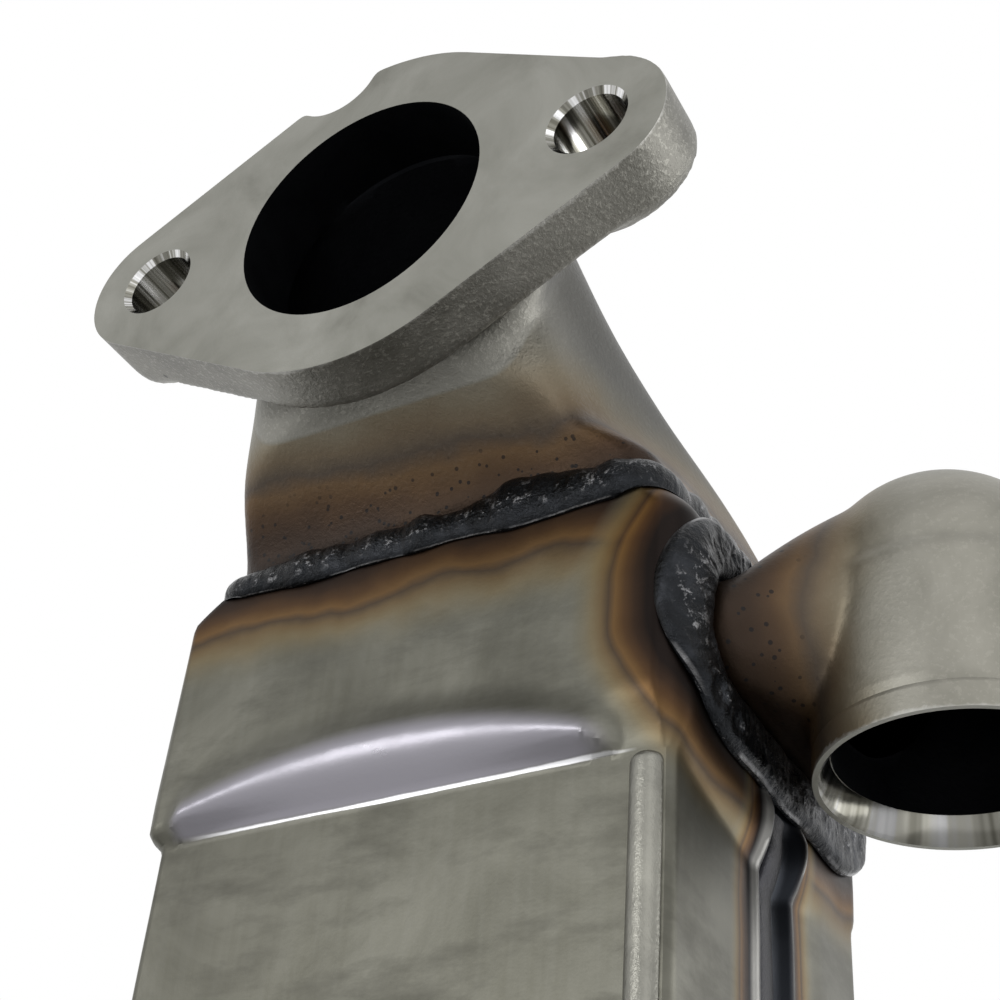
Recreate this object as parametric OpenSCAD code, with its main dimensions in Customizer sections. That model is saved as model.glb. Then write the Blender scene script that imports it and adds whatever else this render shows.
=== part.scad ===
// Exhaust gas recirculation cooler: a gas to coolant heat exchanger of flat tubes in a welded shell.
// Frame: the origin is the centre of the gas inlet bore on its flange face. +X runs along the two
// bolts, -Y points out of the flange and +Z runs up the core. The shell hangs below and behind.

/* [Gas flanges] */
// Diameter of the gas bores
gas_bore_d = 48; // [44:1:50]
// Thickness of the two-bolt gas flanges
flange_t = 11; // [10:0.5:14]
// Diameter of the round middle lobe of a gas flange
flange_lobe_d = 72; // [68:1:74]
// Radius of each bolt end of a gas flange
flange_end_r = 14.4; // [14:0.2:16]
// Distance between the two bolt holes
bolt_spacing = 88; // [84:1:92]
// Diameter of the bolt holes
bolt_hole_d = 13; // [10:0.5:14]
// Chamfer at the mouth of each bolt hole
bolt_chamfer = 1; // [0.5:0.1:1.5]
// Height of the boss behind each bolt hole
boss_h = 2.2; // [1:0.2:3]

/* [Gas inlet elbow] */
// Outer diameter of the elbow where it leaves the flange
neck_d = 56; // [55:0.5:58]
// Distance from the bore axis down to the foot of the elbow
elbow_drop = 50; // [48:1:56]
// Width of the elbow's rectangular foot
foot_w = 82; // [79:1:83]
// Depth of the elbow's rectangular foot
foot_d = 71; // [69:1:72]
// Distance from the flange face to the middle of the core
core_offset = 68; // [67:1:72]
// Corner radius of the foot
foot_r = 5; // [4.5:0.5:8]
// Wall thickness of the castings
cast_wall = 4; // [3.5:0.1:4.2]

/* [Shell] */
// Length of the shell between the two gas castings
shell_len = 398; // [360:2:440]
// Width of the end tanks, side to side
tank_w = 95.2; // [94.6:0.1:97]
// Depth of the end tanks, front to rear
tank_d = 74; // [73.6:0.2:76]
// Corner radius of the end tanks
tank_r = 6; // [5:0.5:7]
// Length of an end tank down to its pressed crease
tank_len = 48; // [46:1:52]
// How far the shell between the tanks steps in on each side
core_step_w = 2.1; // [1.6:0.1:3]
// How far the shell between the tanks steps in at the front and the rear
core_step_d = 2; // [1.5:0.1:2.3]
// Corner radius of the shell between the tanks
core_r = 4.8; // [4.4:0.1:5]
// Thickness of the shell sheet
sheet_t = 1.5; // [1.2:0.1:1.8]
// Height of the sloping shoulder under the foot of the elbow
shoulder_h = 7; // [6:0.5:8]
// Height of the step between tank and shell
step_h = 3.5; // [2.5:0.5:5]
// How much lower the step sits on the sides than on the front
side_drop = 7; // [5:0.5:8]
// Height of the pressed bulge above the crease
bulge_h = 12; // [9:0.5:13]
// How far the pressed bulge stands out of the tank's front
bulge_out = 1.8; // [1:0.1:2.5]
// Height of the rounded lip along each seam
lip_h = 2.6; // [1.5:0.1:3]
// Reach of the rounded lip from the seam
lip_w = 8; // [7.5:0.5:9]
// Gap between the two shell halves at the seam
seam_gap = 0.2; // [0.1:0.05:0.3]
// Diameter of the stiffening bead on the front right corner
rib_d = 4; // [3.4:0.1:4.4]
// Height of the brazing fillet in the seam
braze_h = 0.9; // [0.5:0.1:1.2]

/* [Welds] */
// Height of the weld round a gas casting's foot, above the shell's rim
weld_rise = 5; // [4:0.5:7]
// How far the weld laps down over the shell
weld_lap = 3.4; // [2:0.2:4.5]
// How far the weld stands out of the foot
weld_out = 3.2; // [3:0.1:4.6]
// Width of the weld round a coolant casting
port_weld_w = 10.5; // [8:0.5:11]
// Height of the weld round a coolant casting
port_weld_h = 3; // [2:0.1:4]

/* [Coolant ports] */
// Outer diameter of the coolant pipe end
pipe_d = 44; // [42:0.5:46]
// Bore of the coolant pipe end
pipe_bore_d = 36; // [34:0.5:37]
// Mouth chamfer of the coolant pipe end
pipe_chamfer = 3.2; // [2:0.1:3.4]
// Distance from the side of the tank to the pipe axis
pipe_reach = 28.9; // [27.5:0.1:32]
// Distance from the shell's rim down to the pipe mouth
pipe_drop = 42.6; // [41:0.2:46]
// Height of the collar at the pipe mouth
collar_h = 4.6; // [3:0.2:6]
// Width of the coolant casting's foot along the side of the shell
port_foot_w = 57; // [54:1:58]
// Height of the coolant casting's foot
port_foot_h = 19; // [18:0.2:19.4]
// Distance from the shell's rim to the middle of the coolant casting's foot
port_drop = 22.3; // [22.2:0.1:23]
// Corner radius of the coolant casting's foot
port_foot_r = 9; // [7:0.5:10]

/* [Core] */
// Number of gas tubes
tube_count = 7; // [7:1:7]
// Clearance for coolant between the tubes' edges and the shell
tube_side_gap = 4; // [3:0.25:5]
// Thickness of a flat gas tube
tube_t = 6; // [5.5:0.1:6.4]
// Clearance for coolant between the outer tubes and the shell
tube_face_gap = 2.6; // [2:0.1:3]
// Wall of a gas tube
tube_wall = 0.6; // [0.4:0.1:0.8]
// Thickness of the corrugated fin strip in a tube
fin_t = 0.3; // [0.2:0.05:0.4]
// Pitch of the fin's corrugations
fin_pitch = 6; // [5:0.5:7]
// Thickness of the header plates
header_t = 2; // [1.5:0.1:2.5]
// Distance from the shell's rim to the header plate
header_drop = 8; // [7.5:0.1:8.5]
// Thickness of the tube supports
support_t = 1.5; // [1:0.1:2]
// Number of tube supports
support_count = 3; // [3:1:3]
// Clearance round the parts that are brazed together
braze_gap = 0.1; // [0.05:0.05:0.15]

/* [Outlet cone] */
// Length of the gas outlet cone with its flange
cone_len = 77; // [70:1:90]

/* [Hidden] */
// Points of each rounded corner of a lofted section
corner_n = 7;
// Rings along the elbow
elbow_n = 12;
// Facets of the round surfaces
round_n = 96;
// Overlap that joins the shapes of one casting
join = 1;
rim_z = -elbow_drop;
mid_z = rim_z - shell_len / 2;
tank_hx = tank_w / 2;
tank_hy = tank_d / 2;
core_hx = tank_hx - core_step_w;
core_hy = tank_hy - core_step_d;
// Distance from the middle of the shell to the pipe axis
pipe_offset = tank_hx + pipe_reach;
foot_hx = foot_w / 2;
foot_hy = foot_d / 2;
crease_z = rim_z - tank_len;
// Heights of the rings on the shoulder, as shares of its height
shoulder_shares = [0, 0.3, 0.65, 1];
// Heights of the rings on the bulge, from its top to the crease, as shares of its height
bulge_shares = [0, 0.25, 0.5, 0.72, 0.9, 1];
// Heights of the rings on the step, as shares of its height
step_shares = [0.35, 0.7, 1];
// Section of the lip from the seam outward, as shares of its reach
lip_reach_shares = [0.24, 0.38, 0.47, 0.56, 0.66, 0.77, 0.88, 1];
// Height of the lip at those places, as shares of its full height
lip_rise_shares = [0, 0.55, 0.9, 1, 0.9, 0.5, 0.12, 0];
// Places of the section's points across the front, as shares of the flat's half
front_shares = [-1, -0.9, -0.78, -0.62, -0.45, -0.27, -0.09, 0.09, 0.27, 0.45, 0.62, 0.78, 0.9, 1];
// Places of the section's points across the rear, as shares of the flat's half
rear_shares = [-1, -0.5, 0, 0.5, 1];
// Where the lip begins on the bulge's height, as a share
lip_start_share = 0.35;
// How far the middle of the bulge sits left of the tank's middle, as a share of its half width
bulge_shift_share = -0.06;
// Half length of the bulge, as a share of the tank's half width
bulge_len_share = 0.9;
// Width of a flat gas tube
tube_w = 2 * (core_hx - sheet_t - tube_side_gap);
// Distance from one gas tube to the next
tube_pitch = (2 * (core_hy - sheet_t - tube_face_gap) - tube_t) / (tube_count - 1);
tube_y = [for (i = [0 : tube_count - 1]) core_offset + (i - (tube_count - 1) / 2) * tube_pitch];
steel = [0.62, 0.61, 0.57];
cast_steel = [0.56, 0.54, 0.49];
weld_dark = [0.2, 0.22, 0.26];
brass_tint = [0.6, 0.5, 0.32];

function mix(a, b, s) = a + (b - a) * s;

// A rounded rectangle as a list of points, anticlockwise. Its corners may be ellipses, and those of
// its upper side may have radii of their own
function rounded(hx, hy, rx, ry, ux, uy) = [
    for (q = [0 : 3])
        for (i = [0 : corner_n - 1])
            let (a = 90 * (q + (i + 0.5) / corner_n),
                sx = (q == 0 || q == 3) ? 1 : -1,
                sy = (q < 2) ? 1 : -1,
                cx = (q < 2 && ux != undef) ? ux : rx,
                cy = (q < 2 && uy != undef) ? uy : ry)
            [sx * (hx - cx) + cx * cos(a), sy * (hy - cy) + cy * sin(a)]
];

// One solid through a row of rings that all have the same number of points
module skin(rings, flip = false) {
    n = len(rings);
    m = len(rings[0]);
    points = [for (g = rings) for (j = [0 : m - 1]) g[flip ? m - 1 - j : j]];
    sides = [for (i = [0 : n - 2]) for (j = [0 : m - 1]) for (t = [0, 1])
        let (a = i * m + j, b = i * m + (j + 1) % m)
        t == 0 ? [a, a + m, b + m] : [a, b + m, b]];
    polyhedron(
        points = points,
        faces = concat([[for (j = [0 : m - 1]) j]], [[for (j = [m - 1 : -1 : 0]) (n - 1) * m + j]], sides)
    );
}

// The same for a section that is a band of sheet, whose ends are closed by strips across the sheet
module band_skin(rings) {
    n = len(rings);
    m = len(rings[0]);
    points = [for (g = rings) for (j = [0 : m - 1]) g[m - 1 - j]];
    sides = [for (i = [0 : n - 2]) for (j = [0 : m - 1]) for (t = [0, 1])
        let (a = i * m + j, b = i * m + (j + 1) % m)
        t == 0 ? [a, a + m, b + m] : [a, b + m, b]];
    first = [for (j = [0 : m / 2 - 2]) [j, j + 1, m - 2 - j, m - 1 - j]];
    last = [for (j = [0 : m / 2 - 2])
        let (k = (n - 1) * m) [k + j, k + m - 1 - j, k + m - 2 - j, k + j + 1]];
    polyhedron(points = points, faces = concat(first, last, sides));
}

// A closed ring of sections, such as a weld
module ring_skin(rings, flip = false) {
    n = len(rings);
    m = len(rings[0]);
    points = [for (g = rings) for (j = [0 : m - 1]) g[flip ? m - 1 - j : j]];
    polyhedron(
        points = points,
        faces = [for (i = [0 : n - 1]) for (j = [0 : m - 1]) for (t = [0, 1])
            let (a = i * m + j, b = i * m + (j + 1) % m,
                c = ((i + 1) % n) * m + j, d = ((i + 1) % n) * m + (j + 1) % m)
            t == 0 ? [a, c, d] : [a, d, b]]
    );
}

// Point where a tangent from the lobe to a bolt end touches a circle of radius r at distance x
function tangent_angle() = acos((flange_lobe_d / 2 - flange_end_r) / (bolt_spacing / 2));

// Outline of a two-bolt flange: three circles and the flanks that touch them
module flange_outline() {
    a = tangent_angle();
    lobe_r = flange_lobe_d / 2;
    h = bolt_spacing / 2;
    difference() {
        circle(r = lobe_r, $fn = round_n);
        translate([-lobe_r * 0.28, -lobe_r * 1.06])
            circle(r = lobe_r / 4, $fn = round_n / 2);
    }
    for (s = [-1, 1]) {
        translate([s * h, 0])
            circle(r = flange_end_r, $fn = round_n);
        polygon([
            [0, 0],
            [s * lobe_r * cos(a), lobe_r * sin(a)],
            [s * (h + flange_end_r * cos(a)), flange_end_r * sin(a)],
            [s * h, 0],
            [s * (h + flange_end_r * cos(a)), -flange_end_r * sin(a)],
            [s * lobe_r * cos(a), -lobe_r * sin(a)]
        ]);
    }
}

// Solid of a two-bolt flange with its face at zero and its body above
module flange_body() {
    linear_extrude(height = flange_t)
        flange_outline();
    for (s = [-1, 1])
        translate([s * bolt_spacing / 2, 0, 0])
            cylinder(r = flange_end_r - join / 5, h = flange_t + boss_h, $fn = round_n);
}

// The two bolt holes with their chamfers
module flange_holes() {
    for (s = [-1, 1])
        translate([s * bolt_spacing / 2, 0, 0]) {
            translate([0, 0, -join])
                cylinder(d = bolt_hole_d, h = flange_t + boss_h + 2 * join, $fn = round_n);
            translate([0, 0, -bolt_chamfer])
                cylinder(
                    r1 = bolt_hole_d / 2 + 2 * bolt_chamfer,
                    r2 = bolt_hole_d / 2,
                    h = 2 * bolt_chamfer,
                    $fn = round_n
                );
        }
}

// Ring of the elbow at a share s of its quarter turn, for a wall set in by w
function elbow_ring(s, w) =
    let (a = 90 * s,
        r0 = neck_d / 2,
        rise = pow(sin(a), 0.6),
        taper = elbow_taper_share * sin(2 * a),
        hx = mix(r0, foot_hx, rise) - w,
        turn_drop = elbow_drop - skirt_h,
        near = mix(turn_drop - r0, core_offset - foot_hy - neck_y, s) - sin(2 * a) * cast_wall / 2 + w,
        far = mix(turn_drop + r0, core_offset + foot_hy - neck_y, s) - sin(2 * a) * elbow_back - w,
        hv = (far - near) / 2,
        c = pow(1 - s, 2.6),
        u = 1 - pow(s, 2.4),
        rx = mix(foot_r - w / 2, hx, c),
        rv = mix(foot_r - w / 2, hv, c))
    [for (p = rounded(hx, hv, rx, rv, mix(foot_r - w / 2, hx, u), mix(foot_r - w / 2, hv, u)))
        [
            p[0] * (1 - taper * (p[1] + hv) / (2 * hv)),
            neck_y + (p[1] + (near + far) / 2) * sin(a),
            rim_z + skirt_h + (p[1] + (near + far) / 2) * cos(a)
        ]];

// Rings of the whole elbow, with the straight skirt that goes into the weld
function elbow_rings(w, past) =
    let (turn = [for (i = [0 : elbow_n]) elbow_ring(i / elbow_n, w)])
    concat(turn, [[for (p = turn[elbow_n]) [p[0], p[1], rim_z - past]]]);

// Distance from the flange face to where the elbow starts to turn
neck_y = flange_t + 2 * join;
// Height of the straight skirt above the rim
skirt_h = weld_rise + join;
// How far the elbow's back is flatter than a round bend
elbow_back = neck_d / 3.1;
// How much narrower the elbow is along its back, as a share of its width
elbow_taper_share = 0.16;

module gas_inlet_elbow() {
    color(cast_steel)
        difference() {
            union() {
                rotate([-90, 0, 0])
                    flange_body();
                skin(elbow_rings(0, 0), true);
                rotate([-90, 0, 0])
                    translate([0, 0, flange_t - join])
                        cylinder(d = neck_d + 2 * join, h = 4 * join, $fn = round_n);
            }
            rotate([-90, 0, 0])
                flange_holes();
            rotate([-90, 0, 0])
                translate([0, 0, -join])
                    cylinder(d = gas_bore_d, h = neck_y + 3 * join, $fn = round_n);
            elbow_cavity();
        }
}

// Gas passage inside the elbow
module elbow_cavity() {
    skin(elbow_rings(cast_wall + join / 4, join), true);
}

// Half section of the shell, from the left seam round the front to the right seam.
// Each point is [x, distance in front of the middle, how much it belongs to the side]
function half_outline(hx, hy, r, lip, bulge, places, inset) =
    let (n = len(lip_reach_shares),
        ax = hx - inset,
        ay = hy - inset,
        ar = r - inset,
        side = concat([[ax, seam_gap / 2, 1]], [for (i = [0 : n - 1])
            [ax + lip * lip_h * lip_rise_shares[i], lip_w * lip_reach_shares[i], 1]]),
        arc = [for (i = [0 : 5]) let (a = 15 * (i + 0.5))
            [ax - ar + ar * cos(a), ay - ar + ar * sin(a), pow(cos(a), 2)]],
        right = concat(side, arc),
        m = len(right),
        flat = [for (s = places)
            let (x = s * (ax - ar),
                e = (x / tank_hx - bulge_shift_share) / bulge_len_share)
            [x, ay + bulge * bulge_out * max(0, 1 - e * e), 0]])
    concat(
        [for (i = [0 : m - 1]) [-right[i][0], right[i][1], right[i][2]]],
        flat,
        [for (i = [m - 1 : -1 : 0]) right[i]]
    );

// Closed band of the shell's sheet at height z. A front half has dir -1 and a rear half 1
function half_ring(z, hx, hy, r, drop, lip, bulge, places, dir) =
    let (outer = half_outline(hx, hy, r, lip, bulge, places, 0),
        inner = half_outline(hx, hy, r, lip, bulge, places, sheet_t),
        n = len(outer),
        way = z > mid_z ? -1 : 1,
        band = concat(outer, [for (i = [n - 1 : -1 : 0]) inner[i]]))
    [for (p = band) [-dir * p[0], core_offset + dir * p[1], z + way * drop * side_drop * p[2]]];

// Rings of one end of a shell half: [z, half width, half depth, radius, drop, lip, bulge]
end_table = concat(
    [for (s = shoulder_shares)
        [rim_z - s * shoulder_h, mix(foot_hx + sheet_t, tank_hx, sin(90 * s)), tank_hy,
            mix(foot_r + sheet_t, tank_r, s), 0, 0, 0]],
    [for (s = bulge_shares)
        [crease_z + bulge_h * (1 - s), tank_hx, tank_hy, tank_r, s,
            pow(max(0, (s - lip_start_share) / (1 - lip_start_share)), 0.8), sin(180 * pow(s, 1.5) * 0.9)]],
    [for (s = step_shares)
        [crease_z - s * step_h, mix(tank_hx, core_hx, s), mix(tank_hy, core_hy, s), mix(tank_r, core_r, s), 1, 1,
            0]]
);

function half_rings(places, dir) =
    let (n = len(end_table))
    concat(
        [for (t = end_table) half_ring(t[0], t[1], t[2], t[3], t[4], t[5], t[6], places, dir)],
        [for (i = [n - 1 : -1 : 0])
            let (t = end_table[i])
            half_ring(2 * mid_z - t[0], t[1], t[2], t[3], t[4], t[5], t[6], places, dir)]
    );

// Openings in the shell behind the coolant castings, on the right at the top and on the left at the bottom
module port_openings() {
    for (s = [1, -1])
        translate([s * (core_hx - cast_wall / 2), core_offset, mid_z + s * (rim_z - port_drop - mid_z)])
            cube([3 * cast_wall, port_foot_w - 2 * cast_wall, port_foot_h - 2 * cast_wall], center = true);
}

// Stiffening bead pressed into the front near its right corner
module corner_rib() {
    z0 = crease_z - step_h - rib_d / 2;
    translate([core_hx - core_r, core_offset - core_hy + join, 0]) {
        translate([0, 0, 2 * mid_z - z0])
            cylinder(d = rib_d, h = 2 * (z0 - mid_z), $fn = round_n / 3);
        for (z = [z0, 2 * mid_z - z0])
            translate([0, 0, z])
                sphere(d = rib_d, $fn = round_n / 3);
    }
}

module shell_front_half() {
    color(steel)
        difference() {
            union() {
                band_skin(half_rings(front_shares, -1));
                corner_rib();
            }
            port_openings();
        }
}

module shell_rear_half() {
    color(steel)
        difference() {
            band_skin(half_rings(rear_shares, 1));
            port_openings();
        }
}

// Brazing fillet in the groove between the two lips
module seam_braze(side) {
    z0 = crease_z - step_h - side_drop - join;
    groove = 1.9 * lip_w * lip_reach_shares[0];
    color(brass_tint)
        translate([side * (core_hx + braze_gap), core_offset, 2 * mid_z - z0])
            linear_extrude(height = 2 * (z0 - mid_z))
                polygon([
                    [0, -groove / 2],
                    [side * braze_h * 0.7, -groove * 0.4],
                    [side * braze_h, 0],
                    [side * braze_h * 0.7, groove * 0.4],
                    [0, groove / 2]
                ]);
}

// Section of the weld at a foot: places as shares of its reach out and of its height
weld_out_shares = [0, 0.35, 0.7, 0.93, 1, 0.92];
weld_rise_shares = [1, 0.97, 0.78, 0.5, 0.15, -0.25];

// Ring of the weld round a gas casting's foot, below the point a degrees round it
function foot_weld_ring(i) =
    let (plan = rounded(foot_hx, foot_hy, foot_r, foot_r),
        q = floor(i / corner_n),
        a = 90 * (q + (i - q * corner_n + 0.5) / corner_n),
        k = abs(cos(a)),
        n = len(weld_out_shares),
        lap = weld_lap * (1 - k / 2),
        spread = tank_hx - foot_hx - sheet_t,
        lap_out = sheet_t + 2 * braze_gap + k * spread * sin(90 * lap / shoulder_h),
        section = concat(
            [for (j = [0 : n - 1])
                [braze_gap + weld_out * weld_out_shares[j],
                    weld_rise_shares[j] > 0 ? weld_rise * weld_rise_shares[j] : weld_lap * weld_rise_shares[j]]],
            [[lap_out, -lap], [sheet_t + 2 * braze_gap, 0], [braze_gap, 0]]))
    [for (p = section) [plan[i][0] + p[0] * cos(a), core_offset + plan[i][1] + p[0] * sin(a), rim_z + p[1]]];

module foot_weld() {
    color(weld_dark)
        ring_skin([for (i = [0 : 4 * corner_n - 1]) foot_weld_ring(i)]);
}

module inlet_weld() {
    foot_weld();
}

module outlet_weld() {
    translate([0, 0, 2 * mid_z])
        mirror([0, 0, 1])
            foot_weld();
}

// Point on the tank's right side, u along its outline from the middle and at height z, lifted by h
function side_point(u, z, h) =
    let (way = u < 0 ? -1 : 1,
        d = abs(u),
        flat = tank_hy - tank_r,
        turn = min(90, max(0, (d - flat) / tank_r * 180 / PI)),
        past = max(0, d - flat - tank_r * PI / 2),
        s = min(1, max(0, (rim_z - z) / shoulder_h)),
        hx = mix(foot_hx + sheet_t, tank_hx, sin(90 * s)),
        r = tank_r + h)
    [hx - tank_r + r * cos(turn) - past,
        core_offset + way * (min(d, flat) + r * sin(turn)), z];

// Lift of the coolant casting's weld across its width
port_weld_shares = [-1, -0.8, -0.45, 0, 0.45, 0.8, 1];
port_lift_shares = [0.18, 0.6, 0.93, 1, 0.93, 0.6, 0.18];

function port_weld_ring(i) =
    let (r = port_foot_r + port_weld_w / 2,
        plan = rounded(
            port_foot_w / 2 + port_weld_w / 2 + braze_gap,
            port_foot_h / 2 + port_weld_w / 2 + braze_gap, r, r),
        q = floor(i / corner_n),
        a = 90 * (q + (i - q * corner_n + 0.5) / corner_n),
        n = len(port_weld_shares),
        place = function(w, h) side_point(
            plan[i][0] + w * cos(a), rim_z - port_drop + plan[i][1] + w * sin(a), h))
    concat(
        [for (j = [0 : n - 1])
            place(port_weld_w / 2 * port_weld_shares[j], port_weld_h * port_lift_shares[j])],
        [for (j = [n - 1 : -1 : 0]) place(port_weld_w / 2 * port_weld_shares[j], 3 * braze_gap)]
    );

module port_weld() {
    color(weld_dark)
        ring_skin([for (i = [0 : 4 * corner_n - 1]) port_weld_ring(i)]);
}

// Ring of the coolant casting's funnel, at a share s of the way from the shell to the pipe axis
function funnel_ring(s, w) =
    let (x0 = tank_hx + braze_gap,
        s0 = (port_weld_h + braze_gap) / (pipe_offset - x0),
        t = max(0, (s - s0) / (1 - s0)),
        r0 = pipe_d / 2 - w,
        foot_z = rim_z - port_drop,
        pipe_z = rim_z - pipe_drop + pipe_rise,
        top = mix(foot_z + port_foot_h / 2, pipe_z + pipe_d / 2 - dome_lap, 1 - pow(1 - t, 2.2)) - w,
        low = mix(foot_z - port_foot_h / 2, rim_z - pipe_drop + collar_h / 2, t) + w,
        hv = (top - low) / 2,
        hy = mix(r0, port_foot_w / 2 - w, pow(1 - t, 2.5)),
        e = 1 - pow(1 - t, 2),
        ry = min(hy, mix(port_foot_r - w / 2, r0, e)),
        rv = min(hv, mix(port_foot_r - w / 2, r0, e)))
    [for (p = rounded(hy, hv, ry, rv))
        [mix(x0, pipe_offset, s), core_offset + p[0], p[1] + (top + low) / 2]];

// Height of the middle of the pipe's domed top above its mouth
pipe_rise = pipe_d / 2 + 2 * collar_h;
// How far below the dome's top the funnel runs into it
dome_lap = 0.4;
// Places of the funnel's rings along its length
funnel_shares = [0, 0.11, 0.15, 0.2, 0.27, 0.36, 0.47, 0.6, 0.74, 0.86];

module funnel(w, back) {
    rings = [for (s = funnel_shares) funnel_ring(s, w)];
    end = funnel_ring(1, w);
    mid = [pipe_offset - join, core_offset, rim_z - pipe_drop + pipe_rise];
    close = [for (p = end) [mid[0], mix(mid[1], p[1], 0.86), mix(mid[2], p[2], 0.86)]];
    start = [for (p = rings[0]) [p[0] - back, p[1], p[2]]];
    skin(back > 0 ? concat([start], rings, [close]) : concat(rings, [close]));
}

// Upright pipe with a domed top, set in by w, as one turned solid
module bullet(w, top_extra) {
    r = pipe_d / 2 - w;
    translate([pipe_offset, core_offset, rim_z - pipe_drop])
        rotate_extrude($fn = round_n)
            intersection() {
                union() {
                    translate([0, pipe_rise])
                        circle(r = r, $fn = round_n);
                    translate([-r, -top_extra])
                        square([2 * r, pipe_rise + top_extra]);
                }
                translate([0, -top_extra])
                    square([r, pipe_rise + r + top_extra]);
            }
}

module coolant_elbow() {
    bore_w = (pipe_d - pipe_bore_d) / 2;
    color(cast_steel)
        difference() {
            union() {
                bullet(0, 0);
                funnel(0, 0);
                translate([pipe_offset, core_offset, rim_z - pipe_drop])
                    cylinder(d = pipe_d + join, h = collar_h, $fn = round_n);
            }
            bullet(bore_w, join);
            funnel(cast_wall, join);
            translate([pipe_offset, core_offset, rim_z - pipe_drop - join])
                cylinder(
                    r1 = pipe_bore_d / 2 + pipe_chamfer + join,
                    r2 = pipe_bore_d / 2 - join / 2,
                    h = pipe_chamfer + join * 5 / 2,
                    $fn = round_n
                );
        }
}

module coolant_outlet_elbow() {
    coolant_elbow();
}

// The inlet's casting is the outlet's, turned over onto the left side at the other end
module coolant_inlet_elbow() {
    translate([0, 0, 2 * mid_z])
        rotate([0, 180, 0])
            coolant_elbow();
}

module coolant_outlet_weld() {
    port_weld();
}

module coolant_inlet_weld() {
    translate([0, 0, 2 * mid_z])
        rotate([0, 180, 0])
            port_weld();
}

// Outline of a flat tube, grown by w
module tube_outline(w) {
    r = tube_t / 2 + w;
    flat = (tube_w - tube_t) / 2;
    translate([-flat, -r])
        square([2 * flat, 2 * r]);
    for (s = [-1, 1])
        translate([s * flat, 0])
            circle(r = r, $fn = round_n / 2);
}

// Rounded rectangle with true arcs, centred
module plate_outline(hx, hy, r) {
    translate([-hx + r, -hy])
        square([2 * (hx - r), 2 * hy]);
    translate([-hx, -hy + r])
        square([2 * hx, 2 * (hy - r)]);
    for (sx = [-1, 1])
        for (sy = [-1, 1])
            translate([sx * (hx - r), sy * (hy - r)])
                circle(r = r, $fn = round_n / 2);
}

module header_plate() {
    gap = sheet_t + 2 * braze_gap;
    color(steel)
        translate([0, core_offset, rim_z - header_drop - header_t])
            linear_extrude(height = header_t)
                difference() {
                    plate_outline(tank_hx - gap, tank_hy - gap, tank_r - sheet_t);
                    for (y = tube_y)
                        translate([0, y - core_offset])
                            tube_outline(braze_gap);
                }
}

module header_plate_top() {
    header_plate();
}

module header_plate_bottom() {
    translate([0, 0, 2 * mid_z])
        mirror([0, 0, 1])
            header_plate();
}

// Flat gas tube number i
module gas_tube(i) {
    z0 = rim_z - header_drop + join;
    color(steel)
        translate([0, tube_y[i], 2 * mid_z - z0])
            linear_extrude(height = 2 * (z0 - mid_z))
                difference() {
                    tube_outline(0);
                    tube_outline(-tube_wall);
                }
}

// Corrugated fin in tube number i: a folded strip between the tube's walls
module gas_fin(i) {
    z0 = rim_z - header_drop - header_t;
    top = tube_t / 2 - tube_wall - braze_gap;
    folds = floor((tube_w - 2 * tube_t) / fin_pitch);
    x0 = -folds * fin_pitch / 2;
    flat = fin_pitch / 4;
    path = [for (k = [0 : folds - 1]) each [
        [x0 + k * fin_pitch, 0],
        [x0 + k * fin_pitch + flat, 1],
        [x0 + k * fin_pitch + 2 * flat, 1],
        [x0 + k * fin_pitch + 3 * flat, 0]
    ]];
    n = len(path);
    color(steel)
        translate([0, tube_y[i], 2 * mid_z - z0])
            linear_extrude(height = 2 * (z0 - mid_z))
                polygon(concat(
                    [for (p = path) [p[0], mix(-top + fin_t, top, p[1])]],
                    [for (k = [n - 1 : -1 : 0]) [path[k][0], mix(-top, top - fin_t, path[k][1])]]
                ));
}

// Support plate number i across the tubes, with coolant passages at its ends
module tube_support(i) {
    z = mid_z + (i - (support_count - 1) / 2) * shell_len / (support_count + 1);
    gap = sheet_t + lip_h / 2;
    color(steel)
        translate([0, core_offset, z - support_t / 2])
            linear_extrude(height = support_t)
                difference() {
                    plate_outline(core_hx - gap, core_hy - gap, core_r);
                    for (y = tube_y)
                        translate([0, y - core_offset])
                            tube_outline(braze_gap);
                }
}

// Ring of the outlet cone at a share s of its length, set in by w
function cone_ring(s, w) =
    let (e = (1 - cos(180 * s)) / 2,
        hx = mix(foot_hx, neck_d / 2, e) - w,
        hy = mix(foot_hy, neck_d / 2, e) - w,
        c = pow(s, 0.8),
        rx = mix(foot_r - w / 2, hx, c),
        ry = mix(foot_r - w / 2, hy, c),
        z = 2 * mid_z - rim_z - s * (cone_len - flange_t))
    [for (p = rounded(hx, hy, rx, ry)) [p[0], core_offset + p[1], z]];

cone_n = 8;

module gas_outlet_cone() {
    low_z = 2 * mid_z - rim_z - cone_len;
    rings = [for (i = [0 : cone_n]) cone_ring(i / cone_n, 0)];
    cavity = [for (i = [0 : cone_n]) cone_ring(i / cone_n, cast_wall + join / 4)];
    color(cast_steel)
        difference() {
            union() {
                skin(rings, true);
                translate([0, core_offset, low_z]) {
                    flange_body();
                    cylinder(d = neck_d + 2 * join, h = flange_t + join, $fn = round_n);
                }
            }
            translate([0, core_offset, low_z]) {
                flange_holes();
                translate([0, 0, -join])
                    cylinder(d = gas_bore_d, h = flange_t + 3 * join, $fn = round_n);
            }
            skin(concat([[for (p = cavity[0]) [p[0], p[1], p[2] + join]]], cavity), true);
        }
}

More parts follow.
